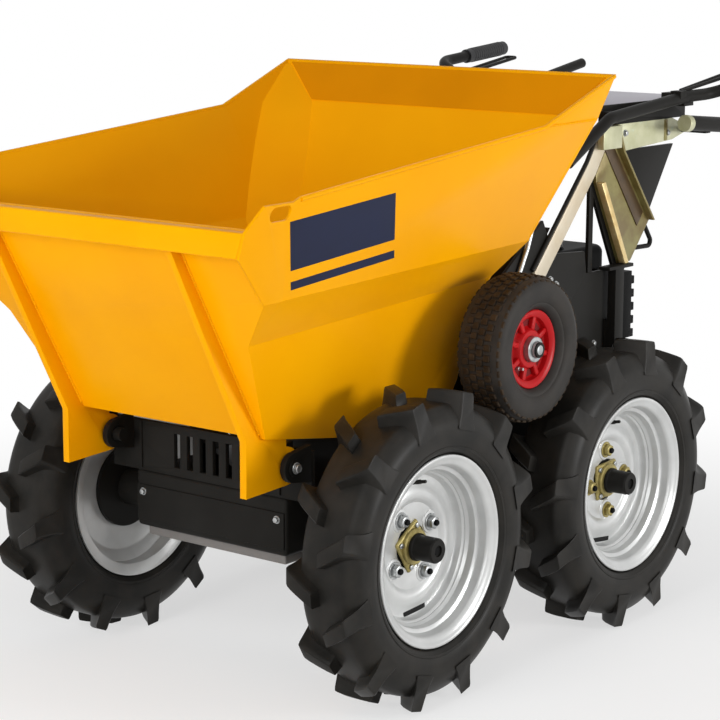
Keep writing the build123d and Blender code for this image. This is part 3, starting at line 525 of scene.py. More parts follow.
def capped(profile: list[Pair], steps: int, sharp: float | None = None) -> bpy.types.Mesh:
    """Turn a profile about Y and close both ends; a few steps make a prism."""
    ends = (0.0, profile[0][1]), (0.0, profile[-1][1])
    return lathe([ends[0], *profile, ends[1]], steps, sharp, closed=False)


def disc_stack(base: float, steps: int, *points: Pair,
               sharp: float | None = None) -> bpy.types.Mesh:
    """Closed turned shape about Y, from radii and heights in millimetres above a base."""
    return capped(stepped(0.0, base, *points), steps, sharp)


def loft(rings: list[list[Point]], name: str) -> bpy.types.Mesh:
    """Closed mesh through rings of points, with a cap at each end.

    Args:
        rings: Rings of as many points each, in order.
        name: Mesh name.

    Returns:
        The mesh, normals outwards.
    """
    bm = bmesh.new()
    made = [[bm.verts.new(p) for p in ring] for ring in rings]
    for one, two in zip(made, made[1:]):
        for i in range(len(one)):
            j = (i + 1) % len(one)
            bm.faces.new((one[i], one[j], two[j], two[i]))
    bm.faces.new(made[0])
    bm.faces.new(made[-1])
    bmesh.ops.recalc_face_normals(bm, faces=bm.faces)
    return mesh_of(bm, name)


def moved(mesh: bpy.types.Mesh, place: Point | Vector, flip: bool = False) -> bpy.types.Mesh:
    """Move a mesh to its place.

    Args:
        mesh: Mesh to move.
        place: Where its origin goes.
        flip: Mirror it in y first.

    Returns:
        The same mesh.
    """
    if flip:
        mesh.transform(Matrix.Diagonal((1, -1, 1, 1)))
        mesh.flip_normals()
    mesh.transform(Matrix.Translation(place))
    return mesh


def joined(meshes: list[bpy.types.Mesh]) -> bpy.types.Mesh:
    """One mesh from several.

    Args:
        meshes: Meshes with their places in them.

    Returns:
        A new mesh, named as the first.
    """
    bm = bmesh.new()
    for mesh in meshes:
        bm.from_mesh(mesh)
    return mesh_of(bm, meshes[0].name)


def rounded_box(low: Point, high: Point, width: float, segments: int = 2) -> bpy.types.Mesh:
    """Box between two corners, its edges rounded.

    Args:
        low: Lowest corner, in metres.
        high: Highest corner, in metres.
        width: Edge rounding in millimetres.
        segments: Facets across the rounding.

    Returns:
        The box as a mesh.
    """
    bm = bmesh.new()
    bmesh.ops.create_cube(bm, size=1.0)
    size = Vector(high) - Vector(low)
    middle = (Vector(high) + Vector(low)) / 2
    bm.transform(Matrix.Translation(middle) @ Matrix.Diagonal((*size, 1)))
    return with_bevel(mesh_of(bm, "box"), width * MM, segments)


def plate_mesh(outline: list[Point], depth: Point) -> bpy.types.Mesh:
    """Closed plate from the corners of one face and the step to the other."""
    return loft([outline, [Vector(p) + Vector(depth) for p in outline]], "plate")


def rod_mesh(points: list[Point], radius: float) -> bpy.types.Mesh:
    """Closed round rod along points.

    Args:
        points: Corners of the route.
        radius: Radius in metres.

    Returns:
        The rod as a mesh.
    """
    curve = bpy.data.curves.new("rod", "CURVE")
    curve.dimensions = "3D"
    spline = curve.splines.new("POLY")
    spline.points.add(len(points) - 1)
    for target, point in zip(spline.points, points):
        target.co = (*point, 1)
    curve.bevel_depth = radius
    curve.bevel_resolution = 2
    curve.use_fill_caps = True
    helper = new_object("rod", curve)
    mesh = evaluated_mesh(helper)
    discard(helper)
    set_shading(mesh, ROUND_SHARP)
    return mesh


# ------------------------------------------------------------------ geometry nodes
def start_tree(name: str, sockets: list[tuple[str, str]]) -> bpy.types.NodeTree:
    """Geometry tree with named inputs and one geometry output.

    Args:
        name: Tree name.
        sockets: Input names with their socket types.

    Returns:
        The new tree.
    """
    tree = bpy.data.node_groups.new(name, "GeometryNodeTree")
    tree.interface.new_socket("Geometry", in_out="INPUT", socket_type="NodeSocketGeometry")
    for label, kind in sockets:
        tree.interface.new_socket(label, in_out="INPUT", socket_type=kind)
    tree.interface.new_socket("Geometry", in_out="OUTPUT", socket_type="NodeSocketGeometry")
    return tree


def end_tree(tree: bpy.types.NodeTree, geometry: bpy.types.NodeSocket,
             finish: bpy.types.NodeSocket) -> None:
    """Realize the instances, set their material and send them out.

    Args:
        tree: Geometry tree.
        geometry: Its instances.
        finish: Their material.
    """
    real = add_node(tree, "GeometryNodeRealizeInstances", {"Geometry": geometry})
    dressed = add_node(tree, "GeometryNodeSetMaterial", {
        "Geometry": real.outputs["Geometry"], "Material": finish})
    add_node(tree, "NodeGroupOutput", {"Geometry": dressed.outputs["Geometry"]})


def grown(tree: bpy.types.NodeTree, values: dict[str, object],
          base: bpy.types.Object | None = None) -> bpy.types.Mesh:
    """Run a geometry tree and keep the result as a plain mesh.

    Args:
        tree: Geometry tree.
        values: Input names with their values.
        base: Object that the tree starts from; an empty mesh when left out.

    Returns:
        The resulting mesh.
    """
    helper = base or new_object("grow_helper", bpy.data.meshes.new("grow_helper"))
    modifier = helper.modifiers.new("Grow", "NODES")
    modifier.node_group = tree
    for item in tree.interface.items_tree:
        if item.item_type == "SOCKET" and item.in_out == "INPUT" and item.name in values:
            modifier[item.identifier] = values[item.name]
    mesh = evaluated_mesh(helper)
    helper.modifiers.remove(modifier)
    discard(helper)
    return mesh


@cache
def ring_tree() -> bpy.types.NodeTree:
    """Tree that repeats a part round Y, with a small random turn of each copy.

    Returns:
        The tree, built once.
    """
    tree = start_tree("ring_of_parts", [
        ("Part", "NodeSocketObject"), ("Count", "NodeSocketInt"), ("Start", "NodeSocketFloat"),
        ("Spread", "NodeSocketFloat"), ("Seed", "NodeSocketInt"), ("Finish", "NodeSocketMaterial")])
    given = add_node(tree, "NodeGroupInput").outputs
    points = add_node(tree, "GeometryNodePoints", {"Count": given["Count"]})
    index = add_node(tree, "GeometryNodeInputIndex")
    step = add_node(tree, "ShaderNodeMath", {0: FULL_TURN, 1: given["Count"]}, operation="DIVIDE")
    turn = add_node(tree, "ShaderNodeMath", {
        0: index.outputs[0], 1: step.outputs[0], 2: given["Start"]}, operation="MULTIPLY_ADD")
    low = add_node(tree, "ShaderNodeMath", {0: given["Spread"], 1: -1.0}, operation="MULTIPLY")
    jitter = add_node(tree, "FunctionNodeRandomValue", {
        2: low.outputs[0], 3: given["Spread"], "Seed": given["Seed"]}, data_type="FLOAT")
    angle = add_node(tree, "ShaderNodeMath", {0: turn.outputs[0], 1: jitter.outputs[1]})
    rotation = add_node(tree, "ShaderNodeCombineXYZ", {"Y": angle.outputs[0]})
    part = add_node(tree, "GeometryNodeObjectInfo", {"Object": given["Part"], "As Instance": True})
    copies = add_node(tree, "GeometryNodeInstanceOnPoints", {
        "Points": points.outputs[0], "Instance": part.outputs["Geometry"],
        "Rotation": rotation.outputs[0]})
    end_tree(tree, copies.outputs[0], given["Finish"])
    return tree


@cache
def row_tree() -> bpy.types.NodeTree:
    """Tree that repeats a part at even steps along a vector.

    Returns:
        The tree, built once.
    """
    tree = start_tree("row_of_parts", [
        ("Part", "NodeSocketObject"), ("Count", "NodeSocketInt"), ("Step", "NodeSocketVector"),
        ("Finish", "NodeSocketMaterial")])
    given = add_node(tree, "NodeGroupInput").outputs
    line = add_node(tree, "GeometryNodeMeshLine", {
        "Count": given["Count"], "Offset": given["Step"]})
    part = add_node(tree, "GeometryNodeObjectInfo", {"Object": given["Part"], "As Instance": True})
    copies = add_node(tree, "GeometryNodeInstanceOnPoints", {
        "Points": line.outputs[0], "Instance": part.outputs["Geometry"]})
    end_tree(tree, copies.outputs[0], given["Finish"])
    return tree


@cache
def bead_tree() -> bpy.types.NodeTree:
    """Tree that lays overlapping weld beads along a line of points.

    Returns:
        The tree, built once.
    """
    tree = start_tree("weld_beads", [
        ("Spacing", "NodeSocketFloat"), ("Radius", "NodeSocketFloat"), ("Seed", "NodeSocketInt"),
        ("Finish", "NodeSocketMaterial")])
    given = add_node(tree, "NodeGroupInput").outputs
    curve = add_node(tree, "GeometryNodeMeshToCurve", {"Mesh": given["Geometry"]})
    points = add_node(tree, "GeometryNodeCurveToPoints", {
        "Curve": curve.outputs[0], "Length": given["Spacing"]}, mode="LENGTH")
    bead = add_node(tree, "GeometryNodeMeshIcoSphere", {
        "Radius": given["Radius"], "Subdivisions": 2})
    swell = add_node(tree, "FunctionNodeRandomValue", {2: 0.85, 3: 1.15, "Seed": given["Seed"]},
                     data_type="FLOAT")
    copies = add_node(tree, "GeometryNodeInstanceOnPoints", {
        "Points": points.outputs["Points"], "Instance": bead.outputs["Mesh"],
        "Scale": swell.outputs[1]})
    end_tree(tree, copies.outputs[0], given["Finish"])
    return tree


def ring_of(part: bpy.types.Mesh, count: int, finish: Finish, start: float = 0.0,
            spread: float = 0.0, seed: int = 1) -> bpy.types.Mesh:
    """Repeat a part round Y.

    Args:
        part: Mesh of one copy, placed for angle zero.
        count: Number of copies.
        finish: Finish of the copies.
        start: Angle of the first copy, in radians.
        spread: Largest random turn either way, in radians.
        seed: Seed of the random turn.

    Returns:
        One mesh with all the copies.
    """
    helper = new_object("ring_part", part)
    mesh = grown(ring_tree(), {"Part": helper, "Count": count, "Start": start, "Spread": spread,
                               "Seed": seed, "Finish": finish.material()})
    discard(helper)
    return mesh


def row_of(part: bpy.types.Mesh, count: int, step: Point, finish: Finish) -> bpy.types.Mesh:
    """Repeat a part along a vector.

    Args:
        part: Mesh of the first copy.
        count: Number of copies.
        step: Offset from one copy to the next.
        finish: Finish of the copies.

    Returns:
        One mesh with all the copies.
    """
    helper = new_object("row_part", part)
    mesh = grown(row_tree(), {"Part": helper, "Count": count, "Step": step,
                              "Finish": finish.material()})
    discard(helper)
    return mesh


def welds(lines: list[tuple[Point, Point]], radius: float, finish: Finish,
          seeds: list[int]) -> bpy.types.Mesh:
    """Weld seams between pairs of points.

    Args:
        lines: Start and end of each seam.
        radius: Radius of a bead, in metres.
        finish: Finish of the beads.
        seeds: Seed of each seam's swelling.

    Returns:
        One mesh with all the seams.
    """
    overlap = 0.9
    seams = []
    for (start, end), seed in zip(lines, seeds):
        line = bpy.data.meshes.new("weld_line")
        line.from_pydata([start, end], [(0, 1)], [])
        seams.append(grown(bead_tree(), {
            "Spacing": radius * overlap, "Radius": radius, "Seed": seed,
            "Finish": finish.material()}, new_object("weld_line", line)))
    mesh = joined(seams)
    set_shading(mesh, WELD_SHARP)
    return mesh


class Surface:
    """A CAD node's skin, for finding points on it."""

    def __init__(self, node: str) -> None:
        """Read the node's mesh.

        Args:
            node: CAD node.
        """
        bm = bmesh.new()
        bm.from_mesh(frame["nodes"][node].data)
        self.tree = BVHTree.FromBMesh(bm)
        bm.free()

    def hit(self, origin: Point | Vector, direction: Point | Vector) -> tuple[Vector, Vector]:
        """First point of the skin along a ray.

        Args:
            origin: Start of the ray.
            direction: Its direction.

        Returns:
            The point and the outward normal there.
        """
        point, normal, _, _ = self.tree.ray_cast(Vector(origin), Vector(direction))
        if normal.dot(Vector(direction)) > 0:
            normal = -normal
        return point, normal


def bolt_mesh(place: Point | Vector, axis: Point, radius: float, height: float,
              washer: float = 1.5) -> bpy.types.Mesh:
    """Hexagon bolt head on its washer.

    Args:
        place: Middle of the washer's underside, in metres.
        axis: Direction in which the head stands.
        radius: Half the head's width over its corners, in millimetres.
        height: Height of the head, in millimetres.
        washer: Washer radius over the head's radius; 0 leaves it out.

    Returns:
        A mesh with rounded edges.
    """
    washer_height, chamfer_from, chamfer_to, rounding = 0.25, 0.85, 0.88, 0.06
    across, tall = radius * MM, height * MM
    parts = []
    rise = 0.0
    if washer:
        rise = washer_height * tall
        parts.append(capped([(across * washer, 0.0), (across * washer, rise)], 28))
    parts.append(capped([(across, rise), (across, rise + tall * chamfer_from),
                         (across * chamfer_to, rise + tall)], 6))
    mesh = with_bevel(joined(parts), rounding * across, 1)
    turn = Vector((0, 1, 0)).rotation_difference(Vector(axis).normalized()).to_matrix().to_4x4()
    mesh.transform(Matrix.Translation(place) @ turn)
    return mesh


# ------------------------------------------------------------------ skip
@dataclass
class Skip:
    """Forward-tipping sheet skip with its lip, legs and blank decals."""

    body: str = "skip"
    fold_width: float = 7.0 * MM        # rounding of a folded edge
    edge_share: float = 0.16            # rounding of a cut edge, over a folded one's
    fold_length: float = 150.0 * MM     # shorter edges are no folds
    flat_below: float = 4.0             # degrees up to which an edge is no corner
    fold_below: float = 72.0            # degrees up to which it is a fold
    decal_lift: float = 0.25 * MM
    plate_front: Pair = mm(91, 739)     # the plate's upper corners: behind the lip, and z
    plate_rear: Pair = mm(323, 756)
    plate_lean: float = 29.0 * MM
    plate_height: float = 70.0 * MM
    stripe_drop: float = 86.0 * MM
    stripe_height: float = 12.0 * MM
    weld_radius: float = 2.2 * MM
    seam_share: float = 0.8             # the wing seams' beads, over the legs'
    leg_width: float = 12.0 * MM
    seam_ends: Pair = mm(3, 8)          # legs' seams stop short of the lip and of the floor
    floor_front_z: float = 411.0 * MM
    inside_x: float = 300.0 * MM        # a point well inside, for rays
    probe_step: float = 100.0 * MM      # between the rays that find the floor's slope
    sink: float = 0.5 * MM              # how far a panel's edges lie in the shell's sheet
    foot_sink: float = 1.5 * MM         # how far their feet go into the floor sheet
    # height and width of the bent corner panels
    corner_levels: tuple[Pair, ...] = rows_mm(
        (400, 62), (500, 62), (586, 62), (643, 60), (700, 64), (760, 64), (822, 60), (884, 6))
    # x and z of three points of the lower side panel, and the corners of the plate beside it
    rest_probes: tuple[Pair, ...] = rows_mm((200, 500), (300, 500), (250, 450))
    rest_outline: tuple[Pair, ...] = rows_mm(
        (98, 522), (172, 392), (108, 392), (90, 402), (84, 422), (84, 480), (88, 502))
    rest_thickness: float = 4.0 * MM
    hem_radius: float = 3.4 * MM
    # height and half width of the sheet that carries the headboard's painted shade
    sheet_levels: tuple[Pair, ...] = rows_mm((827, 256), (887, 318))
    sheet_thickness: float = 1.6 * MM
    rim_line: tuple[Point, ...] = rows_mm(
        (655, 336.9, 768), (74.6, 321.6, 820.5), (-101.5, 330, 888))
    wing_seam: tuple[Point, ...] = rows_mm((72, 323.4, 822.5), (-76, 315, 823))

    def __post_init__(self) -> None:
        """Read the shell's skin."""
        self.skin = Surface("skip_shell")

    def build(self) -> None:
        """Make every piece of the skip."""
        self.shell()
        soften(self.body, ("skip_lip", AMBER, 2.5, 3), ("skip_legs", AMBER, 1.6, 2))
        self.decals()
        self.leg_seams()
        self.corners()
        self.rests()
        self.hem()
        self.headboard()

    def inside(self, y: float, z: float) -> Vector:
        """Point of the rear panel's or headboard's inside at a height."""
        return self.skin.hit((self.inside_x, y, z), (-1, 0, 0))[0]

    def shell(self) -> None:
        """Sheet shell with rounded folds and dulled rims."""
        bm = node_bmesh("skip_shell")
        weights = bm.edges.layers.float.new("bevel_weight_edge")
        for edge in bm.edges:
            angle = edge.calc_face_angle(0.0)
            if angle < math.radians(self.flat_below):
                continue
            fold = angle < math.radians(self.fold_below) and edge.calc_length() > self.fold_length
            edge[weights] = 1.0 if fold else self.edge_share
        mesh = with_bevel(mesh_of(bm, "skip_sheet"), self.fold_width, 4, by_weight=True)
        add_piece("skip_sheet", mesh, AMBER, self.body, ("skip_shell",))

    def decals(self) -> None:
        """Blank navy plate and stripe of film on each side of the skip."""
        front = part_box("skip_lip")[1].x
        for side in Side:
            for name, top, height in (("plate", 0.0, self.plate_height),
                                      ("stripe", self.stripe_drop, self.stripe_height)):
                hits = [self.skin.hit((x, side.value, z), (0, -side.value, 0))
                        for x, z in self.outline(front, top, height)]
                raised = [p + n * self.decal_lift for p, n in hits]
                film = loft([[p for p, _ in hits], raised], name)
                add_piece(f"decal_{name}_{side.label}", film, NAVY, self.body)

    def outline(self, front: float, drop: float, height: float) -> list[Pair]:
        """Corners of a decal in x and z, leaning with the skip's front.

        Args:
            front: The lip's front.
            drop: Distance of the decal's top below the plate's top.
            height: Height of the decal.

        Returns:
            Four corners in order round the decal.
        """
        (front_top, front_low), (rear_top, rear_low) = (
            [(front - behind - self.plate_lean * (fall / self.plate_height), z - fall)
             for fall in (drop, drop + height)]
            for behind, z in (self.plate_front, self.plate_rear))
        return [front_top, rear_top, rear_low, front_low]

    def leg_seams(self) -> None:
        """Weld seams between the legs and the front panel."""
        low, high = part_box("skip_legs")
        short_top, short_foot = self.seam_ends
        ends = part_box("skip_lip")[0].z - short_top, self.floor_front_z + short_foot
        lines = []
        for side in Side:
            outer = side.value * max(abs(low.y), abs(high.y))
            for y in (outer, outer - side.value * self.leg_width):
                lines.append(tuple(self.skin.hit((1.0, y, z), (-1, 0, 0))[0] for z in ends))
        seams = welds(lines, self.weld_radius, AMBER, [1, 2, 3, 4])
        add_piece("leg_welds", seams, AMBER, self.body)

    def corners(self) -> None:
        """Bent panels across the two rear inner corners, running out at the headboard's ends."""
        floor, ahead = (self.skin.hit((self.inside_x + step, 0.0, 1.0), (0, 0, -1))[0]
                        for step in (0.0, self.probe_step))
        slope = (ahead.z - floor.z) / (ahead.x - floor.x)
        for side in Side:
            s = side.value
            rings = []
            for z, width in self.corner_levels:
                wall = self.inside(0.0, z)
                front, _ = self.skin.hit((wall.x + width, 0.0, z), (0, s, 0))
                rear = self.inside(front.y - s * width, z)
                rings.append([
                    front + Vector((0, s * self.sink, 0)), rear - Vector((self.sink, 0, 0)),
                    Vector((rear.x - 2 * self.sink, front.y + s * 2 * self.sink, z))])
            # the lowest ring is carried on down into the floor sheet
            foot = []
            for low, high in zip(rings[0], rings[1]):
                step = high - low
                gap = low.z - (floor.z + slope * (low.x - floor.x)) + self.foot_sink
                foot.append(low - step * gap / (step.z - slope * step.x))
            rings[0] = foot
            mesh = loft(rings, "corner")
            set_shading(mesh, CRISP_SHARP)
            add_piece(f"skip_corner_{side.label}", mesh, AMBER, self.body)

    def rests(self) -> None:
        """Plates that carry the lower side panels on behind the rear panel."""
        for side in Side:
            s = side.value
            (x0, z0), (x1, _), (x2, z2) = self.rest_probes
            y0, y1, y2 = (self.skin.hit((x, s, z), (0, -s, 0))[0].y for x, z in self.rest_probes)
            along = (y1 - y0) / (x1 - x0)
            rise = (y2 - y0 - along * (x2 - x0)) / (z2 - z0)
            outline = [(x, y0 + along * (x - x0) + rise * (z - z0), z)
                       for x, z in self.rest_outline]
            plate = with_bevel(plate_mesh(outline, (0, -s * self.rest_thickness, 0)), 0.8 * MM)
            add_piece(f"skip_rest_{side.label}", plate, AMBER, self.body)

    def hem(self) -> None:
        """Rolled hem along the rim and the headboard, and the seams under the wings."""
        across = [(x, -y, z) for x, y, z in reversed(self.rim_line)]
        roll = rod_mesh([*self.rim_line, *across], self.hem_radius)
        add_piece("rim_hem", roll, AMBER, self.body)
        lines = [tuple((x, side.value * y, z) for x, y, z in self.wing_seam) for side in Side]
        seams = welds(lines, self.weld_radius * self.seam_share, AMBER, [9, 9])
        add_piece("wing_seams", seams, AMBER, self.body)

    def headboard(self) -> None:
        """Sheet on the headboard's inside, above its crease, in a darker amber as painted shade."""
        (low, low_half), (high, high_half) = self.sheet_levels
        corners = [self.inside(y, z) - Vector((self.sink, 0, 0)) for y, z in (
            (low_half, low), (high_half, high), (-high_half, high), (-low_half, low))]
        plate = plate_mesh(corners, (self.sheet_thickness, 0, 0))
        # the darker amber of this sheet is painted shade
        add_piece("headboard_sheet", plate, AMBER_PAINTED_SHADE, self.body)


# ------------------------------------------------------------------ wheels
@dataclass
class Wheel:
    """A wheel whose pieces are made as a left one's at the origin."""

    side: Side

    def read_place(self, label: str, kind: str = "") -> None:
        """Read the wheel's middle, radius and half width from its tyre.

        Args:
            label: What its nodes and body are called after.
            kind: What comes before the names of its nodes and its body.
        """
        self.label = label
        self.body = f"{kind}wheel_{label}"
        low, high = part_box(f"{kind}tyre_{label}")
        self.centre = (low + high) / 2
        self.radius = (high.z - low.z) / 2
        self.half = (high.y - low.y) / 2

    def put(self, name: str, mesh: bpy.types.Mesh, finish: Finish, *replaces: str) -> None:
        """Put a piece in its place, mirrored for a right wheel."""
        moved(mesh, self.centre, self.side is Side.RIGHT)
        add_piece(f"{name}_{self.label}", mesh, finish, self.body, replaces)


# turn of each tyre's first bar from the top towards the front, in degrees
TREAD_TURN = {(Place.FRONT, Side.LEFT): 18.8, (Place.REAR, Side.LEFT): 24.1,
              (Place.FRONT, Side.RIGHT): 24.1, (Place.REAR, Side.RIGHT): 18.8}
# turn of the nuts and of the valve slot on each axle, in degrees
NUT_TURN = {Place.FRONT: 33.0, Place.REAR: 4.0}
SLOT_TURN = {Place.FRONT: 4.0, Place.REAR: -7.0}


@dataclass
class MainWheel(Wheel):
    """Lugged tyre on a pressed rim with its hub, nuts and valve."""

    place: Place
    lug_count: int = 12
    lug_lean: float = math.radians(32)
    centre_gap: float = 3.0 * MM
    tread_drop: float = 18.0 * MM       # casing below the lugs' tips
    side_radius: float = 178.0 * MM
    flange_radius: float = 141.5 * MM
    bead_radius: float = 127.0 * MM
    disc_depth: float = 55.0 * MM       # disc behind the outer flange
    bolt_circle: float = 101.6 * MM
    bolt_count: int = 4
    valve_radius: float = 96.0 * MM
    valve_lean: float = 0.2             # of its stem, in radians
    screw_radius: float = 31.0 * MM
    steps: int = 144
    # A bar's sections: share of the way out, drop of its top, radius of its root, half
    # thickness at top and root, and how far its top is pulled in at the shoulder.
    lug_stations: tuple[tuple[float, ...], ...] = (
        (0.0, 3.2, 207, 10.0, 16.0, -3.0), (0.03, 0.8, 207, 11.6, 17.5, -1.0),
        (0.25, 0.0, 207, 12.4, 19.0, 0.0), (0.5, 0.0, 205, 12.8, 20.0, 0.0),
        (0.72, 0.0, 200, 13.0, 21.5, 0.4), (0.86, 0.2, 193, 13.2, 23.5, 2.2),
        (0.95, 0.8, 186, 13.0, 25.0, 5.0), (0.985, 1.8, 182, 12.6, 25.5, 6.6),
        (1.0, 4.5, 179, 11.6, 25.5, 7.6))
    # its flank's hollow curve: share of the height, share of the extra width at the root
    lug_flank: tuple[Pair, ...] = ((0.0, 1.0), (0.16, 0.62), (0.4, 0.30), (0.7, 0.10), (0.92, 0.0))
    lug_chamfer: float = 1.8            # what its flat top is narrower by, in millimetres
    lug_rounding: float = 2.4 * MM
    casing_sharp: float = 35.0          # degrees from which the casing's edges stay sharp

    def __post_init__(self) -> None:
        """Read the wheel's place and size from the frame."""
        self.read_place(f"{self.place.value}_{self.side.label}")
        low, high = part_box(f"rim_{self.label}")
        self.rim_half = (high.y - low.y) / 2
        self.disc = self.rim_half - self.disc_depth
        self.nut_turn = math.radians(NUT_TURN[self.place])

    def build(self) -> None:
        """Make every piece of the wheel."""
        self.tyre()
        self.rim()
        self.hub()

    def casing_profile(self) -> list[Pair]:
        """Half of the casing's section, from the bead to the crown.

        Returns:
            Radius and y of each point.
        """
        crown = self.radius - self.tread_drop
        half = self.half - 2 * MM
        seat = self.rim_half - 7 * MM
        return [
            (self.bead_radius, seat),
            *stepped(self.flange_radius, seat, (0.5, 0), (2.5, 4.5)),
            *stepped(self.flange_radius, half, (5, -5.5), (8, -4.2), (9, -2.8), (12, -2.2),
                     (13, -3), (16, -1.6)),
            *stepped(self.side_radius, half, (-12, -0.5), (0, 0), (8, -0.7), (14, -2.8),
                     (21, -6.5), (27, -11)),
            *stepped(crown, half, (-3.5, -16), (-1.5, -22), (-0.5, -31), (0, -44))]

    def lug(self, row: int) -> bpy.types.Mesh:
        """One tread bar on the +Z side, from the tread's middle down over the shoulder.

        Args:
            row: 1 for the outer row, -1 for the inner one.

        Returns:
            The bar as a closed mesh.
        """
        reach = self.half - self.centre_gap
        lean = math.tan(self.lug_lean)
        rings = []
        for along, drop, root, top_half, root_half, pull in self.lug_stations:
            y = self.centre_gap + along * reach
            middle = (self.centre_gap + reach / 2 - y) * lean
            top, low = self.radius - drop * MM, root * MM
            half = [(low + share * (top - low), (top_half + wide * (root_half - top_half)) * MM)
                    for share, wide in self.lug_flank]
            half.append((top, (top_half - self.lug_chamfer) * MM))
            points = []
            for r, t in [(r, -t) for r, t in half] + half[::-1]:
                angle = (middle + t) / self.radius
                back = pull * MM * (r - low) / (top - low)
                points.append((r * math.sin(angle), row * (y - back), r * math.cos(angle)))
            rings.append(points)
        return with_bevel(loft(rings, "lug"), self.lug_rounding, 3)

    def tyre(self) -> None:
        """Casing with both rows of bars."""
        half = self.casing_profile()
        casing = lathe(half + [(r, -y) for r, y in reversed(half)], self.steps, self.casing_sharp)
        pitch = FULL_TURN / self.lug_count
        start = math.radians(TREAD_TURN[self.place, self.side])
        outer = ring_of(self.lug(1), self.lug_count, RUBBER, start=start)
        inner = ring_of(self.lug(-1), self.lug_count, RUBBER, start=start + pitch / 2)
        self.put("tyre", joined([casing, outer, inner]), RUBBER, f"tyre_{self.label}")

    def rim(self) -> None:
        """Pressed rim with its curled flange and stepped seats, valve and slot, and nut seats."""
        f, disc = self.rim_half, self.disc
        flange, bead = self.flange_radius, self.bead_radius
        outer = [
            *stepped(flange, f, (0, -3), (0, -1.4), (-0.8, -0.4), (-2.4, 0), (-4.4, -0.4),
                     (-6.5, -2.2), (-9.5, -4)),
            *stepped(bead, f, (1.5, -5.5), (-1.5, -8), (-3, -12), (-3.8, -20), (-5, -22.5),
                     (-8, -23.5), (-10.5, -25), (-11.8, -29), (-12.6, -37), (-14, -40),
                     (-17, -41.5), (-19, -44)),
            *stepped(bead, disc, (-20, 4), (-22.5, 0.8), (-26, 0.2)),
            *stepped(0.0, disc, (94, 0.4), (88, 3.2), (82, 5.8), (76, 6.6), (71, 5.6), (67, 2.2),
                     (64, 0.3), (36, 0), (34, -1))]
        back = [
            *stepped(0.0, disc, (34, -4)), *stepped(bead, disc, (-24, -4)),
            *stepped(bead, -f, (-20.5, 34), (-3.5, 27), (-3.5, 6)),
            *stepped(flange, -f, (-3.5, 0), (0, 0), (0, 3.5)),
            *stepped(bead, -f, (0, 7), (0, 26), (-17, 34)),
            *stepped(bead, f, (-16, -39), (-9, -31), (-7, -26), (0, -21), (0, -9)),
            *stepped(flange, f, (-2, -5))]
        rim = lathe(outer + back, self.steps, TURNED_SHARP)
        self.put("rim", rim, SILVER, f"rim_{self.label}")
        # a dark box in the valve slot, painted shadow inside the hole
        slot = rounded_box(off((0, disc, 0), -26, -1, -103), off((0, disc, 0), 26, 0.9, -95), 1.5)
        slot.transform(Matrix.Rotation(math.radians(SLOT_TURN[self.place]), 4, "Y"))
        self.put("valve_slot", slot, GAP)
        stem = disc_stack(disc, 16, (3.4, 0), (3.4, 16), (2.6, 17), (2.6, 25), (2, 26),
                          sharp=PLAIN_SHARP)
        stem.transform(Matrix.Translation((0, 0, self.valve_radius))
                       @ Matrix.Rotation(self.valve_lean, 4, "X"))
        self.put("valve", stem, RUBBER)
        # seats pressed forward under the nuts
        seat = disc_stack(disc, 36, (18, -1), (16.5, 1.2), (13, 1.9), sharp=TURNED_SHARP)
        self.put("nut_seats", self.bolted(seat, self.bolt_circle / 2, SILVER), SILVER)

    def bolted(self, part: bpy.types.Mesh, radius: float, finish: Finish,
               turn: float = 0.0) -> bpy.types.Mesh:
        """Four copies of a part round the hub, turned as the nuts are.

        Args:
            part: Mesh on the axis.
            radius: Radius of the ring, in metres.
            finish: Finish of the copies.
            turn: Turn from the nuts, in radians.

        Returns:
            One mesh with all the copies.
        """
        part.transform(Matrix.Translation((radius, 0, 0)))
        return ring_of(part, self.bolt_count, finish, start=self.nut_turn + turn)

    def hub(self) -> None:
        """Passivated plate, nuts on their studs, and the black hub nose."""
        f, disc = self.rim_half, self.disc
        plate = with_bevel(disc_stack(disc, 4, (41, -3), (41, 4)), 7 * MM, 4)
        plate.transform(Matrix.Rotation(self.nut_turn + math.pi / 4, 4, "Y"))
        boss = disc_stack(disc, 48, (27, 3), (27, 8), (25, 10), sharp=CRISP_SHARP)
        self.put("hub_plate", joined([plate, boss]), HUB_YELLOW, f"hub_{self.label}")
        nose = capped([*stepped(0.0, disc, (20.5, 9), (20.5, 14), (18.6, 16)),
                       *stepped(0.0, f, (18.6, -9), (17, -6.5), (8.5, -6.2), (8.5, -9.5))],
                      40, TURNED_SHARP)
        self.put("hub_nose", nose, POWDER)
        back = disc_stack(disc, 64, (66, -12), (66, -5), (64, -4.2), sharp=TURNED_SHARP)
        self.put("hub_flange", back, POWDER)
        self.put("hub_socket", disc_stack(f, 6, (6.2, -9.4), (6.2, -8.4)), CASTING)
        plated = HUB_YELLOW if self.place is Place.REAR else BRIGHT_ZINC
        radius, outwards = self.bolt_circle / 2, (0, 1, 0)
        nut = bolt_mesh(off((0, disc, 0), 0, 1.8, 0), outwards, 10, 8, 1.3)
        stud = disc_stack(disc, 20, (4.6, 9), (4.6, 14.5), (3.6, 16), sharp=PLAIN_SHARP)
        screw = bolt_mesh(off((0, disc, 0), 0, 4, 0), outwards, 4.2, 3, 0)
        self.put("wheel_nuts", self.bolted(nut, radius, plated), plated)
        self.put("wheel_studs", self.bolted(stud, radius, CASTING), CASTING)
        screws = self.bolted(screw, self.screw_radius, BRIGHT_ZINC, math.pi / 4)
        self.put("hub_screws", screws, BRIGHT_ZINC)


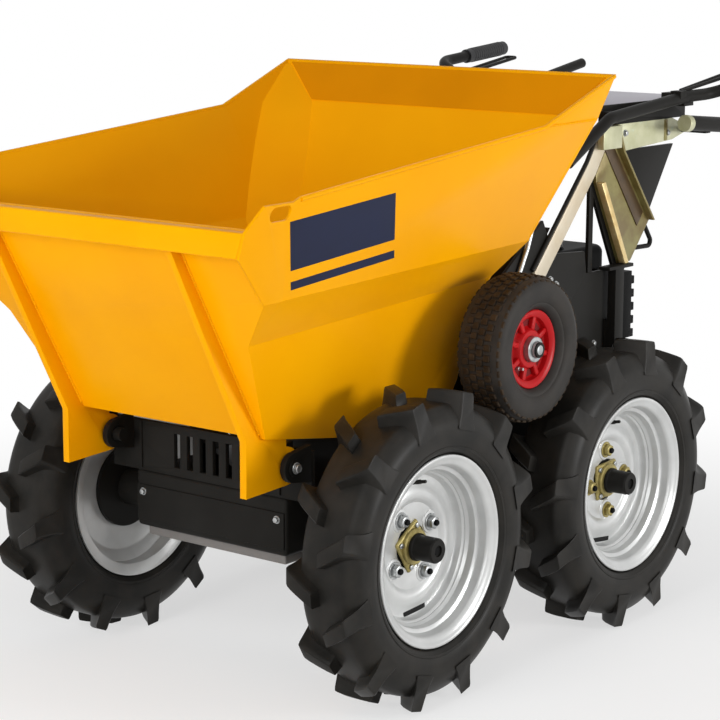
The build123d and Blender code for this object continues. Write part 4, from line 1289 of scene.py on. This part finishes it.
@dataclass
class GuideWheel(Wheel):
    """Small block-tread tyre on a red pressed rim."""

    row_count: int = 6
    block_count: int = 44
    block_height: float = 3.5 * MM      # over the casing's crown
    block_depth: float = 7.0 * MM
    block_length: float = 0.66          # over the pitch of the blocks
    block_width: float = 0.27           # over the tyre's half width
    row_spread: float = 0.78            # outermost row, over the half width
    crown_drop: float = 6.5 * MM        # of the outermost row
    block_jitter: float = 0.004         # largest random turn of a block, in radians
    rib_count: int = 8
    rib_start: float = 0.5              # turn of the first rib, in radians
    rim_half: float = 27.0 * MM
    valve_place: Point = mm(30, 0, -26)
    steps: int = 96

    def __post_init__(self) -> None:
        """Read the wheel's place and size from the frame."""
        self.read_place(self.side.label, "guide_")
        low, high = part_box(f"guide_rim_{self.label}")
        self.rim_radius = (high.z - low.z) / 2
        self.crown = self.radius - self.block_height

    def build(self) -> None:
        """Make every piece of the wheel."""
        self.tyre()
        self.tread()
        self.rim()

    def tyre(self) -> None:
        """Rounded casing with a bead and a protector rib."""
        rim, crown = self.rim_radius, self.crown
        # radius in millimetres from the rim or the crown, and share of the half width
        walls = ((rim, 7, 0.84), (rim, 10, 0.87), (rim, 11.5, 0.87), (rim, 14, 0.93),
                 (rim, 22, 0.985), (rim, 30, 1), (crown, -14, 0.99), (crown, -8, 0.945),
                 (crown, -3.5, 0.86), (crown, -1.2, 0.7), (crown, 0, 0.4), (crown, 0.4, 0.05))
        half = [*stepped(rim, self.rim_half, (-4, -4.5), (0.5, -4.5), (2, 1.5)),
                *((start + out * MM, self.half * share) for start, out, share in walls)]
        casing = lathe(half + [(r, -y) for r, y in reversed(half)], self.steps, TURNED_SHARP)
        self.put("guide_tyre", casing, GUIDE_RUBBER, f"guide_tyre_{self.label}")

    def tread(self) -> None:
        """Rows of small blocks, each row half a block further round than the last."""
        pitch = FULL_TURN / self.block_count
        length = self.crown * pitch * self.block_length
        width = self.half * self.block_width
        middle = (self.row_count - 1) / 2
        rows = []
        for i in range(self.row_count):
            share = (i - middle) / middle
            y = share * self.half * self.row_spread
            top = self.radius - self.crown_drop * share ** 4
            block = rounded_box((-length / 2, y - width / 2, top - self.block_depth),
                                (length / 2, y + width / 2, top), 1, 1)
            rows.append(ring_of(block, self.block_count, TREAD_RUBBER, start=pitch / 2 * (i % 2),
                                spread=self.block_jitter, seed=i))
        self.put("guide_tread", joined(rows), TREAD_RUBBER)

    def rim(self) -> None:
        """Red rim with pressed hollows round a hub ring, painted shade in the hollows, and a bright
        collar.
        """
        r, f = self.rim_radius, self.rim_half
        disc = lathe([
            *stepped(r, f, (0, -3), (0, -1), (-1.2, 0), (-3.5, -0.2), (-8, -2), (-11, -4.5),
                     (-13, -12), (-15, -14), (-26, -14), (-28.5, -11), (-30, -6.5), (-32, -4.5),
                     (-38, -3.5)),
            *stepped(0.0, f, (20, -4), (20, -20)), *stepped(r, f, (-30, -20), (-16, -21)),
            *stepped(r, -f, (-9, 8), (-4, 0), (0, 0), (0, 3), (-3.5, 5)),
            *stepped(r, f, (-3.5, -5))], self.steps, TURNED_SHARP)
        rib = rounded_box(off((r, f, 0), -31, -17, -4.5), off((r, f, 0), -10, -6, 4.5), 2.6, 3)
        ribs = ring_of(rib, self.rib_count, RED, start=self.rib_start)
        self.put("guide_rim", joined([disc, ribs]), RED, f"guide_rim_{self.label}")
        # a thin ring of darker red in the hollows is painted shade
        hollow_shade = lathe(stepped(r, f, (-15.5, -14.5), (-15.5, -13.6), (-25.5, -13.6),
                               (-25.5, -14.5)), self.steps, TURNED_SHARP)
        self.put("guide_hollows", hollow_shade, RED_PAINTED_SHADE)
        ring = disc_stack(f, 40, (19.5, -8), (19.5, 4.5), (18.5, 5.6), (13.5, 5.9), (12.6, 4),
                          sharp=TURNED_SHARP)
        self.put("guide_hub_ring", ring, BRIGHT_ZINC)
        valve = disc_stack(f, 14, (3, -14), (3, -4), (2.2, -3), (2.2, 3), sharp=PLAIN_SHARP)
        valve.transform(Matrix.Translation(self.valve_place))
        self.put("guide_valve", valve, BRIGHT_ZINC)


# ------------------------------------------------------------------ chassis
@dataclass
class Chassis:
    """Black box between the axles with its pivot lugs and guide-wheel brackets."""

    body: str = "chassis"
    pin_radius: float = 10.0 * MM
    pin_inner: float = 140.0 * MM       # where a pivot pin ends between the lugs
    pin_proud: float = 0.5 * MM         # past the lug's outer face
    washer: Pair = (13.0, 2.0)          # radius and height in millimetres
    cap_radius: float = 12.3 * MM
    # radius over the cap's, and millimetres from the axle's end
    cap_dome: tuple[Pair, ...] = ((1, -6.5), (1, -3.5), (0.92, -1.6), (0.7, -0.2), (0.35, 0.5))
    front_bolt: Point = mm(2.4, 16, 33)     # in front of, inside and below the box's corner
    plate_fold: Pair = mm(12, 4)        # inside the box's side, and over the plate's foot
    small_bolt: tuple[float, float, float] = (4.6, 4.0, 1.3)    # radius, height, washer share
    pivot_head: tuple[float, float, float] = (6.5, 5.0, 1.3)

    def build(self) -> None:
        """Dress the chassis nodes and bolt them."""
        # the belly plate's light grey is partly a painted reflection of the floor
        soften(self.body, ("chassis_box", POWDER, 6.0, 4), ("front_plate", POWDER, 1.2, 2),
               ("belly_plate", SKID_PAINTED_REFLECTION, 3.0, 3), ("pivot_lugs", POWDER, 1.2, 2),
               ("guide_carriers", POWDER, 1.2, 2))
        dress(POWDER, "axles")
        self.pivots()
        self.caps()
        self.front()

    def pivots(self) -> None:
        """Pivot bolts: dark pin, washer and a small bright hexagon outside each lug."""
        low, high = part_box("pivot_bolts")
        centre = (low + high) / 2
        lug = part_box("pivot_lugs")[1].y
        radius, height = self.washer
        pins, heads = [], []
        for side in Side:
            s = side.value
            pin = capped([(self.pin_radius, self.pin_inner),
                          (self.pin_radius, lug + self.pin_proud)], 32, TURNED_SHARP)
            washer = disc_stack(lug, 32, (radius, 0), (radius, height))
            pins += [moved(part, (centre.x, 0, centre.z), side is Side.RIGHT)
                     for part in (pin, washer)]
            heads.append(bolt_mesh((centre.x, s * (lug + height * MM), centre.z), (0, s, 0),
                                   *self.pivot_head))
        add_piece("pivot_pins", joined(pins), POWDER, self.body, ("pivot_bolts",))
        add_piece("pivot_heads", joined(heads), BRIGHT_ZINC, self.body)

    def caps(self) -> None:
        """Domed bright caps on the guide wheels' axles."""
        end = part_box("guide_carriers")[1].y
        low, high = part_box("guide_tyre_left")
        centre = (low + high) / 2
        dome = [(self.cap_radius * share, end + up * MM) for share, up in self.cap_dome]
        caps = []
        for side in Side:
            cap = capped(dome, 36, BEVEL_SHARP)
            caps.append(moved(cap, (centre.x, 0, centre.z), side is Side.RIGHT))
        add_piece("guide_axle_caps", joined(caps), BRIGHT_ZINC, self.body)

    def front(self) -> None:
        """Small bolts on the box's front, folds at the plate's ends and the lower cover."""
        low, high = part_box("chassis_box")
        plate_low, plate_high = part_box("front_plate")
        ahead, inside, below = self.front_bolt
        from_side, from_foot = self.plate_fold
        bolts, folds = [], []
        for side in Side:
            s = side.value
            bolts.append(bolt_mesh((high.x + ahead, s * (high.y - inside), high.z - below),
                                   (1, 0, 0), *self.small_bolt))
            y = s * (high.y - from_side)
            folds.append(rounded_box(off((plate_high.x, y, plate_low.z + from_foot), -1, -2, 0),
                                     off((plate_high.x, y, plate_high.z), 3, 2, 0), 1))
        add_piece("front_bolts", joined(bolts), BRIGHT_ZINC, self.body)
        add_piece("plate_folds", joined(folds), POWDER, self.body)
        cover = rounded_box(off((high.x, low.y, low.z), -1, 3, 10), off(high, 2.5, -3, -22), 1.6)
        add_piece("front_cover", cover, POWDER, self.body)


# ------------------------------------------------------------------ rear frame
@dataclass
class RearFrame:
    """Struts, side plates, bracket, console and their fasteners."""

    body: str = "chassis"
    rod_radius: float = 3.4 * MM
    link_share: float = 1.3             # radius of the link, over the cable's
    small_bolt: tuple[float, float, float] = (4.6, 3.6, 1.3)    # radius, height, washer share
    cable_line: tuple[Pair, ...] = rows_mm((-70, 578), (-221, 739), (-254, 786))
    link_line: tuple[Pair, ...] = rows_mm((-26, 570), (-52, 616), (-66, 650))
    plate_bolts: tuple[Pair, ...] = rows_mm((-125, 557), (-142, 547), (-157, 461), (-258, 434))
    fold_x: float = -451.0 * MM
    fold_thickness: float = 12.0 * MM
    bar_y: float = 262.0 * MM           # middle of a hand bar's front end
    bar_z: float = 791.9 * MM
    bar_slope: float = math.atan2(17.8, 200.0)
    # outline in x and z of each strip (painted highlight, nose, painted shade), then the y of its
    # outer face
    channel_edge: tuple[Pair, ...] = rows_mm((-321, 563), (-244, 703), (-256, 705), (-333, 563))
    bracket_nose: tuple[Pair, ...] = rows_mm((-243, 795), (-243, 758), (-299, 758), (-299, 795))
    channel_fold: tuple[Pair, ...] = rows_mm((-268, 757), (-298, 757), (-392, 642), (-374, 620))
    edge_y: float = 221.0 * MM
    nose_y: float = 223.5 * MM
    channel_y: float = 210.0 * MM

    def build(self) -> None:
        """Dress the rear frame's nodes and add its small parts."""
        soften(self.body, *((node, POWDER, 1.2, 2) for node in (
            "firewall", "frame_cheeks", "rear_posts", "console_sides")))
        soften(self.body, ("front_struts", PALE_BAR, 1.0, 2), ("rear_struts", YELLOW_ZINC, 0.8, 2),
               ("gussets", POWDER, 1.0, 2), ("console_brackets", PALE_ZINC, 1.2, 2),
               ("console_plate", LILAC, 1.5, 2))
        self.rods()
        self.folds()
        self.collars()
        self.bolts()

    def rods(self) -> None:
        """Cable along each strut's front edge and the short link in front of it."""
        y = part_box("front_struts")[1].y - 3 * MM
        for side in Side:
            s = side.value
            cable = rod_mesh([(x, s * y, z) for x, z in self.cable_line], self.rod_radius)
            add_piece(f"strut_cable_{side.label}", cable, POWDER, self.body)
            link = rod_mesh([(x, s * (y + 2 * MM), z) for x, z in self.link_line],
                            self.rod_radius * self.link_share)
            add_piece(f"tip_link_{side.label}", link, BRIGHT_ZINC, self.body)

    def folds(self) -> None:
        """Zinc strips: painted highlight on the channels' lit edges, painted shade in their folds,
        and the brackets' noses and folds.
        """
        # on the channels, the pale strip is painted highlight and the bronze strip painted shade
        for name, outline, y, finish in (
                ("channel_edges", self.channel_edge, self.edge_y, ZINC_PAINTED_HIGHLIGHT),
                ("bracket_noses", self.bracket_nose, self.nose_y, PALE_ZINC),
                ("channel_folds", self.channel_fold, self.channel_y, ZINC_PAINTED_SHADE)):
            plates = [with_bevel(plate_mesh([(x, side.value * y, z) for x, z in outline],
                                            (0, -side.value * self.fold_thickness, 0)), 0.8 * MM)
                      for side in Side]
            add_piece(name, joined(plates), finish, self.body)
        low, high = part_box("console_brackets")
        strips = [moved(rounded_box(off((self.fold_x, high.y, low.z), -5, -1, 9),
                                    off((self.fold_x, high.y, high.z), 5, 1.2, -1), 1),
                        (0, 0, 0), side is Side.RIGHT) for side in Side]
        add_piece("bracket_folds", joined(strips), YELLOW_ZINC, self.body)

    def collars(self) -> None:
        """Collars where the hand bars leave the console brackets."""
        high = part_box("hand_bars")[1]
        radius = high.y - self.bar_y
        collars = []
        for side in Side:
            ring = stepped(radius, 0.0, (0.3, 0), (1.2, 1.5), (1.2, 13), (0.3, 14.5))
            collar = capped(ring, 36, TURNED_SHARP)
            start = off((high.x, side.value * self.bar_y, self.bar_z), 0.4, 0, 0)
            along = Matrix.Rotation(-self.bar_slope, 4, "Y") @ Matrix.Rotation(QUARTER_TURN, 4, "Z")
            collar.transform(Matrix.Translation(start) @ along)
            collars.append(collar)
        add_piece("bar_collars", joined(collars), PALE_ZINC, self.body)

    def bolts(self) -> None:
        """Small bolts on the side plates and the brackets."""
        low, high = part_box("console_brackets")
        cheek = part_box("frame_cheeks")[1].y
        places = [(x, cheek, z) for x, z in self.plate_bolts]
        places += [off((high.x, high.y, low.z), -24, 0, 30), off((low.x, high.y, low.z), 62, 0, 22)]
        bolts = [bolt_mesh((x, side.value * y, z), (0, side.value, 0), *self.small_bolt)
                 for side in Side for x, y, z in places]
        add_piece("rear_frame_bolts", joined(bolts), BRIGHT_ZINC, self.body)


# ------------------------------------------------------------------ engine
@dataclass
class Engine:
    """Small petrol engine behind the skip."""

    body: str = "chassis"
    fin_count: int = 7
    fin_pitch: float = 9.0 * MM
    vent_count: int = 18
    screw_count: int = 4
    knurl_count: int = 24
    rib_count: int = 5
    rib_pitch: float = 15.0 * MM

    def build(self) -> None:
        """Dress the engine's nodes and add fins, vents, tank neck and ribs."""
        soften(self.body, ("engine_block", CASTING, 5.0, 3), ("air_cleaner", COVER, 2.0, 2),
               ("exhaust_guard", CASTING, 1.5, 2))
        dress(COVER, "fuel_tank", "starter_housing")
        dress(BRIGHT_ZINC, "fuel_cap")
        self.fins()
        self.starter()
        self.tank()
        self.cleaner()

    def fins(self) -> None:
        """Cooling fins round the cylinder."""
        low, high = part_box("engine_block")
        top = high.z - 14 * MM
        fin = rounded_box(off((low.x, low.y, top), 14, -7, -3), off((high.x, high.y, top), 7, 7, 0),
                          0.8, 1)
        fins = row_of(fin, self.fin_count, (0, 0, -self.fin_pitch), CASTING)
        add_piece("cooling_fins", fins, CASTING, self.body)

    def starter(self) -> None:
        """Vents, screws and pull handle of the recoil starter."""
        low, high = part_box("starter_housing")
        centre = (low + high) / 2
        radius = (high.z - low.z) / 2
        vent = rounded_box(mm(50, -0.6, -3), off((radius, 0, 0), -14, 0.7, 3), 0.5, 1)
        screw = bolt_mesh((radius - 8 * MM, 0, 0), (0, 1, 0), 4.5, 3.5)
        # the rings lie in the plane across Y; turn their outer face to the rear
        to_rear = (Matrix.Translation((low.x + 14 * MM, centre.y, centre.z))
                   @ Matrix.Rotation(QUARTER_TURN, 4, "Z"))
        # the vents are dark slots of painted shadow
        for name, part, count, start, finish in (
                ("starter_vents", vent, self.vent_count, 0.0, GAP),
                ("starter_screws", screw, self.screw_count, math.pi / 4, BRIGHT_ZINC)):
            mesh = ring_of(part, count, finish, start=start)
            mesh.transform(to_rear)
            add_piece(name, mesh, finish, self.body)
        grip = disc_stack(0.0, 20, (6, -24), (9, -20), (7.5, 0), (9, 20), (6, 24),
                          sharp=ROUND_SHARP)
        grip.transform(Matrix.Translation(off((low.x, centre.y, centre.z), 5, 66, 62)))
        add_piece("starter_handle", grip, GRIP, self.body)

    def tank(self) -> None:
        """Neck under the tank's cap and the cap's knurls."""
        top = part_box("fuel_tank")[1].z
        low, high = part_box("fuel_cap")
        centre = (low + high) / 2
        upright = Matrix.Rotation(QUARTER_TURN, 4, "X")
        neck = disc_stack(0.0, 40, (26, 0), (26, 1.2), (24, 3.2))
        neck.transform(upright)
        set_shading(neck, TURNED_SHARP)
        add_piece("tank_neck", moved(neck, (centre.x, centre.y, top)), COVER, self.body)
        knurl = rounded_box(mm(21.2, -6, -1.2), mm(23.4, 6, 1.2), 0.5, 1)
        knurls = ring_of(knurl, self.knurl_count, BRIGHT_ZINC)
        knurls.transform(upright)
        add_piece("cap_knurls", moved(knurls, centre), BRIGHT_ZINC, self.body)

    def cleaner(self) -> None:
        """Ribs on the air cleaner's outer side."""
        low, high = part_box("air_cleaner")
        rib = rounded_box(off(low, 12, -2, 16), off((high.x, low.y, low.z), -12, 1, 20), 0.8, 1)
        ribs = row_of(rib, self.rib_count, (0, 0, self.rib_pitch), COVER)
        add_piece("cleaner_ribs", ribs, COVER, self.body)


# ------------------------------------------------------------------ controls
@dataclass
class Controls:
    """Handlebars, ribbed grips, lower bars and levers."""

    body: str = "chassis"
    rib_count: int = 14
    ribbed_share: float = 0.8           # of the grip's length
    first_rib: float = 0.36             # from the grip's middle, over its length

    def build(self) -> None:
        """Dress the controls."""
        dress(POWDER, "handlebars", "hand_bars", "control_levers", "throttle")
        dress(GRIP, "grips")
        self.ribs()

    def ribs(self) -> None:
        """Raised rings along each hand grip."""
        mounts = {m["name"]: m for m in frame["record"]["mounts"]}
        for side in Side:
            mount = mounts[f"grip_{side.label}"]
            middle, axis = Vector(mount["pos_m"]), Vector(mount["axis"]).normalized()
            radius = mount["dims"]["r_mm"] * MM
            length = mount["dims"]["length_mm"] * MM
            step = length * self.ribbed_share / self.rib_count
            ring = lathe(stepped(radius, 0.0, (-0.5, -1.8), (0.7, -1.1), (0.7, 1.1), (-0.5, 1.8)),
                         28, ROUND_SHARP)
            ring.transform(Matrix.Translation((0, -length * self.first_rib, 0)))
            rings = row_of(ring, self.rib_count, (0, step, 0), GRIP)
            turn = Vector((0, 1, 0)).rotation_difference(axis).to_matrix().to_4x4()
            rings.transform(Matrix.Translation(middle) @ turn)
            add_piece(f"grip_ribs_{side.label}", rings, GRIP, self.body)


# ------------------------------------------------------------------ studio
@dataclass
class Studio:
    """Plain pale floor, soft lamps, white surroundings and the camera."""

    target: Point = (0.1032, 0.0, 0.4223)
    distance: float = 3.606
    azimuth: float = 38.6               # of the camera from the machine, in degrees
    elevation: float = 11.0
    roll: float = 0.156                 # in degrees
    lens: float = 112.75                # focal length in millimetres, on the sensor's width
    sensor: float = 36.0
    shift: Pair = (-0.0044, 0.0103)
    floor_size: float = 60.0
    floor_fade: Pair = (0.5, 1.8)       # distances between which the floor fades to white
    floor_white: float = 0.6            # share of white close to the machine
    ambient: float = 0.3                # strength of the surroundings' light
    lamp_aim: Point = (0.0, 0.0, 0.4)
    # name, place, size in metres, power in watts, seen in reflections
    lamp_plan: tuple[tuple[str, Point, float, float, bool], ...] = (
        ("fill", (3.2, 3.5, 2.2), 2.4, 46.0, True), ("side", (-1.25, 3.8, 0.85), 1.0, 86.0, True),
        ("front", (4.2, 0.2, 1.3), 1.8, 88.0, False), ("top", (0.6, 0.4, 4.0), 2.6, 12.0, False))

    def build(self) -> None:
        """Make the floor, surroundings, lamps and camera."""
        self.floor()
        self.world()
        self.lamps()
        self.camera()

    def floor(self) -> None:
        """Pale floor that keeps the shadow and fades to white away from the machine."""
        half = self.floor_size / 2
        mesh = bpy.data.meshes.new("floor")
        corners = [(-half, -half, 0), (half, -half, 0), (half, half, 0), (-half, half, 0)]
        mesh.from_pydata(corners, [], [(0, 1, 2, 3)])
        made = new_object("floor", mesh)
        paper = bpy.data.materials.new("studio_floor")
        tree = empty_tree(paper)
        place = add_node(tree, "ShaderNodeTexCoord").outputs["Object"]
        reach = add_node(tree, "ShaderNodeVectorMath", {0: place}, operation="LENGTH")
        near, far = self.floor_fade
        fade = add_node(tree, "ShaderNodeMapRange", {
            "Value": reach.outputs["Value"], "From Min": near, "From Max": far,
            "To Min": self.floor_white}, interpolation_type="SMOOTHSTEP")
        white = self.seen_white(tree, fade.outputs["Result"])
        matt = add_node(tree, "ShaderNodeBsdfDiffuse", {"Color": linear("F4F4F4")})
        glow = add_node(tree, "ShaderNodeEmission", {"Color": linear("FFFFFF"), "Strength": 1.0})
        mixed = add_node(tree, "ShaderNodeMixShader", {
            "Fac": white, 1: matt.outputs[0], 2: glow.outputs[0]})
        add_node(tree, "ShaderNodeOutputMaterial", {"Surface": mixed.outputs[0]})
        mesh.materials.append(paper)

    @staticmethod
    def seen_white(tree: bpy.types.NodeTree,
                   share: bpy.types.NodeSocket | float = 1.0) -> bpy.types.NodeSocket:
        """Factor for what only camera, glossy and transmission rays see.

        Args:
            tree: Tree of the floor or the world.
            share: The factor for those rays.

        Returns:
            That factor, and 0 for all other rays.
        """
        rays = add_node(tree, "ShaderNodeLightPath").outputs
        glossy = add_node(tree, "ShaderNodeMath", {
            0: rays["Is Glossy Ray"], 1: rays["Is Transmission Ray"]}, operation="MAXIMUM")
        seen = add_node(tree, "ShaderNodeMath", {
            0: rays["Is Camera Ray"], 1: glossy.outputs[0]}, operation="MAXIMUM")
        return add_node(tree, "ShaderNodeMath", {0: seen.outputs[0], 1: share},
                        operation="MULTIPLY").outputs[0]

    def world(self) -> None:
        """Soft surroundings that are white to the camera and in reflections."""
        world = bpy.data.worlds.new("studio")
        bpy.context.scene.world = world
        tree = empty_tree(world)
        soft, white = (add_node(tree, "ShaderNodeBackground", {
            "Color": linear("FFFFFF"), "Strength": strength}) for strength in (self.ambient, 1.0))
        mixed = add_node(tree, "ShaderNodeMixShader", {
            "Fac": self.seen_white(tree), 1: soft.outputs[0], 2: white.outputs[0]})
        add_node(tree, "ShaderNodeOutputWorld", {"Surface": mixed.outputs[0]})

    def lamps(self) -> None:
        """Soft lamps: fill at the front left, a low one at the rear left, front and weak top."""
        for name, place, size, power, glossy in self.lamp_plan:
            data = bpy.data.lights.new(name, "AREA")
            data.shape = "SQUARE"
            data.size = size
            data.energy = power
            lamp = new_object(name, data)
            lamp.location = place
            lamp.visible_glossy = glossy
            ahead = Vector(self.lamp_aim) - Vector(place)
            lamp.rotation_euler = ahead.to_track_quat("-Z", "Y").to_euler()

    def camera(self) -> None:
        """Camera in front of the machine's left corner."""
        data = bpy.data.cameras.new("camera")
        data.lens = self.lens
        data.sensor_width = self.sensor
        data.shift_x, data.shift_y = self.shift
        made = new_object("camera", data)
        a, e = math.radians(self.azimuth), math.radians(self.elevation)
        away = Vector((math.cos(a) * math.cos(e), math.sin(a) * math.cos(e), math.sin(e)))
        made.location = Vector(self.target) + away * self.distance
        roll = Matrix.Rotation(math.radians(self.roll), 3, "Z").to_quaternion()
        made.rotation_euler = ((-away).to_track_quat("-Z", "Y") @ roll).to_euler()
        bpy.context.scene.camera = made


def main() -> None:
    """Build the studio and every sub-assembly in order."""
    bpy.context.scene.view_settings.view_transform = "Standard"
    Studio().build()
    Skip().build()
    for side in Side:
        for place in Place:
            MainWheel(side, place).build()
        GuideWheel(side).build()
    Chassis().build()
    RearFrame().build()
    Engine().build()
    Controls().build()


if __name__ == "__main__":
    main()
